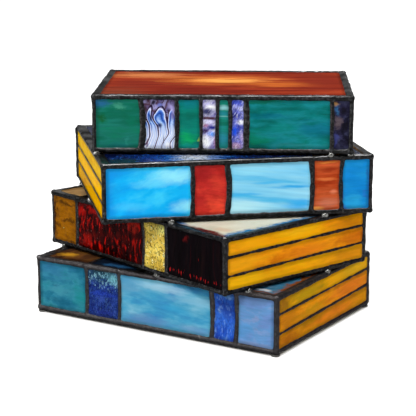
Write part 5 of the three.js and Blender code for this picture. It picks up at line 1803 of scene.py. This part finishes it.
@dataclass(frozen=True)
class Studio:
    """A pale floor, soft light and the camera."""

    eye: tuple[float, float, float] = (0.0036, -1.3371, 0.4074)
    pitch: float = 76.83
    focal: float = 130.67
    floor_reach: float = 12.0

    # The floor's own grey, the strength of its white where it is seen, and where the painted dark of the
    # object's footprint ends, as shares of the lowest book's half sizes.
    FLOOR_GREY = 0.62
    FLOOR_GLOW = 0.72
    FOOTPRINT = (0.985, 1.03)

    def camera(self) -> None:
        """Sets the camera where the photograph was taken from, in metres."""
        data = bpy.data.cameras.new("camera")
        data.lens = self.focal
        data.sensor_width = 36.0
        data.clip_end = 60.0
        camera = bpy.data.objects.new("camera", data)
        camera.location = self.eye
        camera.rotation_euler = (math.radians(self.pitch), 0.0, 0.0)
        bpy.context.scene.collection.objects.link(camera)
        bpy.context.scene.camera = camera

    def floor(self) -> None:
        """A matt white floor that shows the lamp's shadow, with a painted dark footprint under the lowest
        book and a painted warm shade at its edge, and stays white elsewhere.
        """
        shape = bmesh.new()
        bmesh.ops.create_grid(shape, x_segments=1, y_segments=1, size=self.floor_reach)
        bmesh.ops.translate(shape, verts=shape.verts, vec=Vector((0, 0, cad_box[0].z)))
        mesh = bpy.data.meshes.new("floor")
        shape.to_mesh(mesh)
        shape.free()
        floor = bpy.data.objects.new("floor", mesh)
        bpy.context.scene.collection.objects.link(floor)
        material, tree, surface = new_material("matt_white_floor")
        path = add_node(tree, "ShaderNodeLightPath")
        seen = add_node(tree, "ShaderNodeMath", {0: path.outputs["Is Camera Ray"],
                                                 1: path.outputs["Is Glossy Ray"]}, operation="MAXIMUM")
        shown = add_node(tree, "ShaderNodeMath", {0: seen.outputs[0], 1: path.outputs["Is Transmission Ray"]},
                         operation="MAXIMUM")
        glow = add_node(tree, "ShaderNodeMath", {0: shown.outputs[0], 1: self.outside(tree)},
                        operation="MULTIPLY")
        lift = add_node(tree, "ShaderNodeMath", {0: glow.outputs[0], 1: self.FLOOR_GLOW},
                        operation="MULTIPLY")
        # Painted warm shade where the floor's white fades at the footprint's edge.
        warm_contact_shade = add_node(tree, "ShaderNodeValToRGB", {"Fac": glow.outputs[0]},
                          [(0.0, "#c8b898"), (0.6, "#fdfaf4"), (1.0, "#ffffff")])
        grey = (self.FLOOR_GREY, self.FLOOR_GREY, self.FLOOR_GREY, 1.0)
        shader = add_node(tree, "ShaderNodeBsdfPrincipled", {
            "Base Color": grey, "Roughness": 0.9, "Specular IOR Level": 0.0,
            "Emission Color": warm_contact_shade.outputs["Color"], "Emission Strength": lift.outputs[0],
        })
        tree.links.new(shader.outputs["BSDF"], surface)
        mesh.materials.append(material)

    def outside(self, tree: bpy.types.NodeTree) -> bpy.types.NodeSocket:
        """One on the open floor and zero under the lowest book, where the floor is in the dark.

        Args:
            tree: The floor's node tree.

        Returns:
            The mask's value socket.
        """
        book = BOOKS[0]
        where = add_node(tree, "ShaderNodeTexCoord")
        turned = add_node(tree, "ShaderNodeMapping", {
            "Vector": where.outputs["Object"], "Location": book.place().to_translation(),
            "Rotation": (0.0, 0.0, math.radians(book.turn)),
            "Scale": (book.length * HALF * MM, book.width * HALF * MM, 1.0),
        }, vector_type="TEXTURE")
        size = add_node(tree, "ShaderNodeVectorMath", {0: turned.outputs["Vector"]}, operation="ABSOLUTE")
        split = add_node(tree, "ShaderNodeSeparateXYZ", {"Vector": size.outputs[0]})
        reach = add_node(tree, "ShaderNodeMath", {0: split.outputs["X"], 1: split.outputs["Y"]},
                         operation="MAXIMUM")
        start, end = self.FOOTPRINT
        mask = add_node(tree, "ShaderNodeMapRange", {
            "Value": reach.outputs[0], "From Min": start, "From Max": end,
        })
        return mask.outputs["Result"]

    def surround(self) -> None:
        """A white surround that is dim near the horizon and brighter on the left."""
        world = bpy.data.worlds.new("surround")
        bpy.context.scene.world = world
        world.use_nodes = True
        tree = world.node_tree
        where = add_node(tree, "ShaderNodeTexCoord")
        split = add_node(tree, "ShaderNodeSeparateXYZ", {"Vector": where.outputs["Generated"]})
        shade = add_node(tree, "ShaderNodeMapRange", {
            "Value": split.outputs["Z"], "From Min": 0.1, "From Max": 0.75, "To Min": 0.2, "To Max": 0.65,
        }, interpolation_type="SMOOTHSTEP")
        aside = add_node(tree, "ShaderNodeMapRange", {
            "Value": split.outputs["X"], "From Min": -0.8, "From Max": 0.8, "To Min": 1.45, "To Max": 0.55})
        level = add_node(tree, "ShaderNodeMath", {0: shade.outputs["Result"], 1: aside.outputs["Result"]},
                         operation="MULTIPLY")
        tree.links.new(level.outputs[0], tree.nodes["Background"].inputs["Strength"])
        tree.nodes["Background"].inputs["Color"].default_value = (1.0, 1.0, 1.0, 1.0)

    def build(self) -> None:
        """Sets up the camera, the floor and all light."""
        self.camera()
        self.floor()
        self.surround()
        for softbox in SOFTBOXES:
            softbox.hang()


@dataclass(frozen=True)
class Hardware:
    """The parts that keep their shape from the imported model: lamp holder, bulb, bridge, feet and liner."""

    finishes: dict[str, Finish]
    weld: float = 0.01 * MM
    crease_from: float = math.radians(30)

    def build(self) -> None:
        """Puts a smooth-shaded skin with its finish over each of them."""
        slots = {part["node"]: part["material_slot"] for part in frame["record"]["subparts"]}
        made: dict[str, bpy.types.Material] = {}
        for node, piece in list(frame["nodes"].items()):
            if piece.hide_render:
                continue
            slot = slots[node]
            if slot not in made:
                made[slot] = self.finishes[slot].material()
            finish_piece(f"{node}_skin", self.skin(piece), made[slot],
                         "bulb" if node.startswith("bulb") else "lamp", [node], self.crease_from)

    def skin(self, piece: bpy.types.Object) -> bpy.types.Mesh:
        """A copy of a part's surface with its corners welded, so that it can be shaded smooth.

        Args:
            piece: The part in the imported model.

        Returns:
            The mesh in metres, in place.
        """
        mesh = piece.data.copy()
        mesh.transform(piece.matrix_world)
        shape = bmesh.new()
        shape.from_mesh(mesh)
        bmesh.ops.remove_doubles(shape, verts=shape.verts, dist=self.weld)
        shape.to_mesh(mesh)
        shape.free()
        return mesh


def main() -> None:
    logging.basicConfig(level=logging.INFO, format="%(name)s: %(message)s")
    bpy.context.scene.view_settings.view_transform = "Standard"
    Studio().build()
    patina, worn, bright = PATINA.material(), WORN_PATINA.material(), BRIGHT_TIN.material()
    for i, book in enumerate(BOOKS):
        points = crossings(book, BOOKS[i + 1]) if i + 1 < len(BOOKS) else []
        GlassBook(book, FIRST_SEED + i * SEED_STEP).build(worn if book.worn else patina, points)
        if points:
            build_tacks(book, points, bright)
    Hardware(HARDWARE).build()


if __name__ == "__main__":
    main()
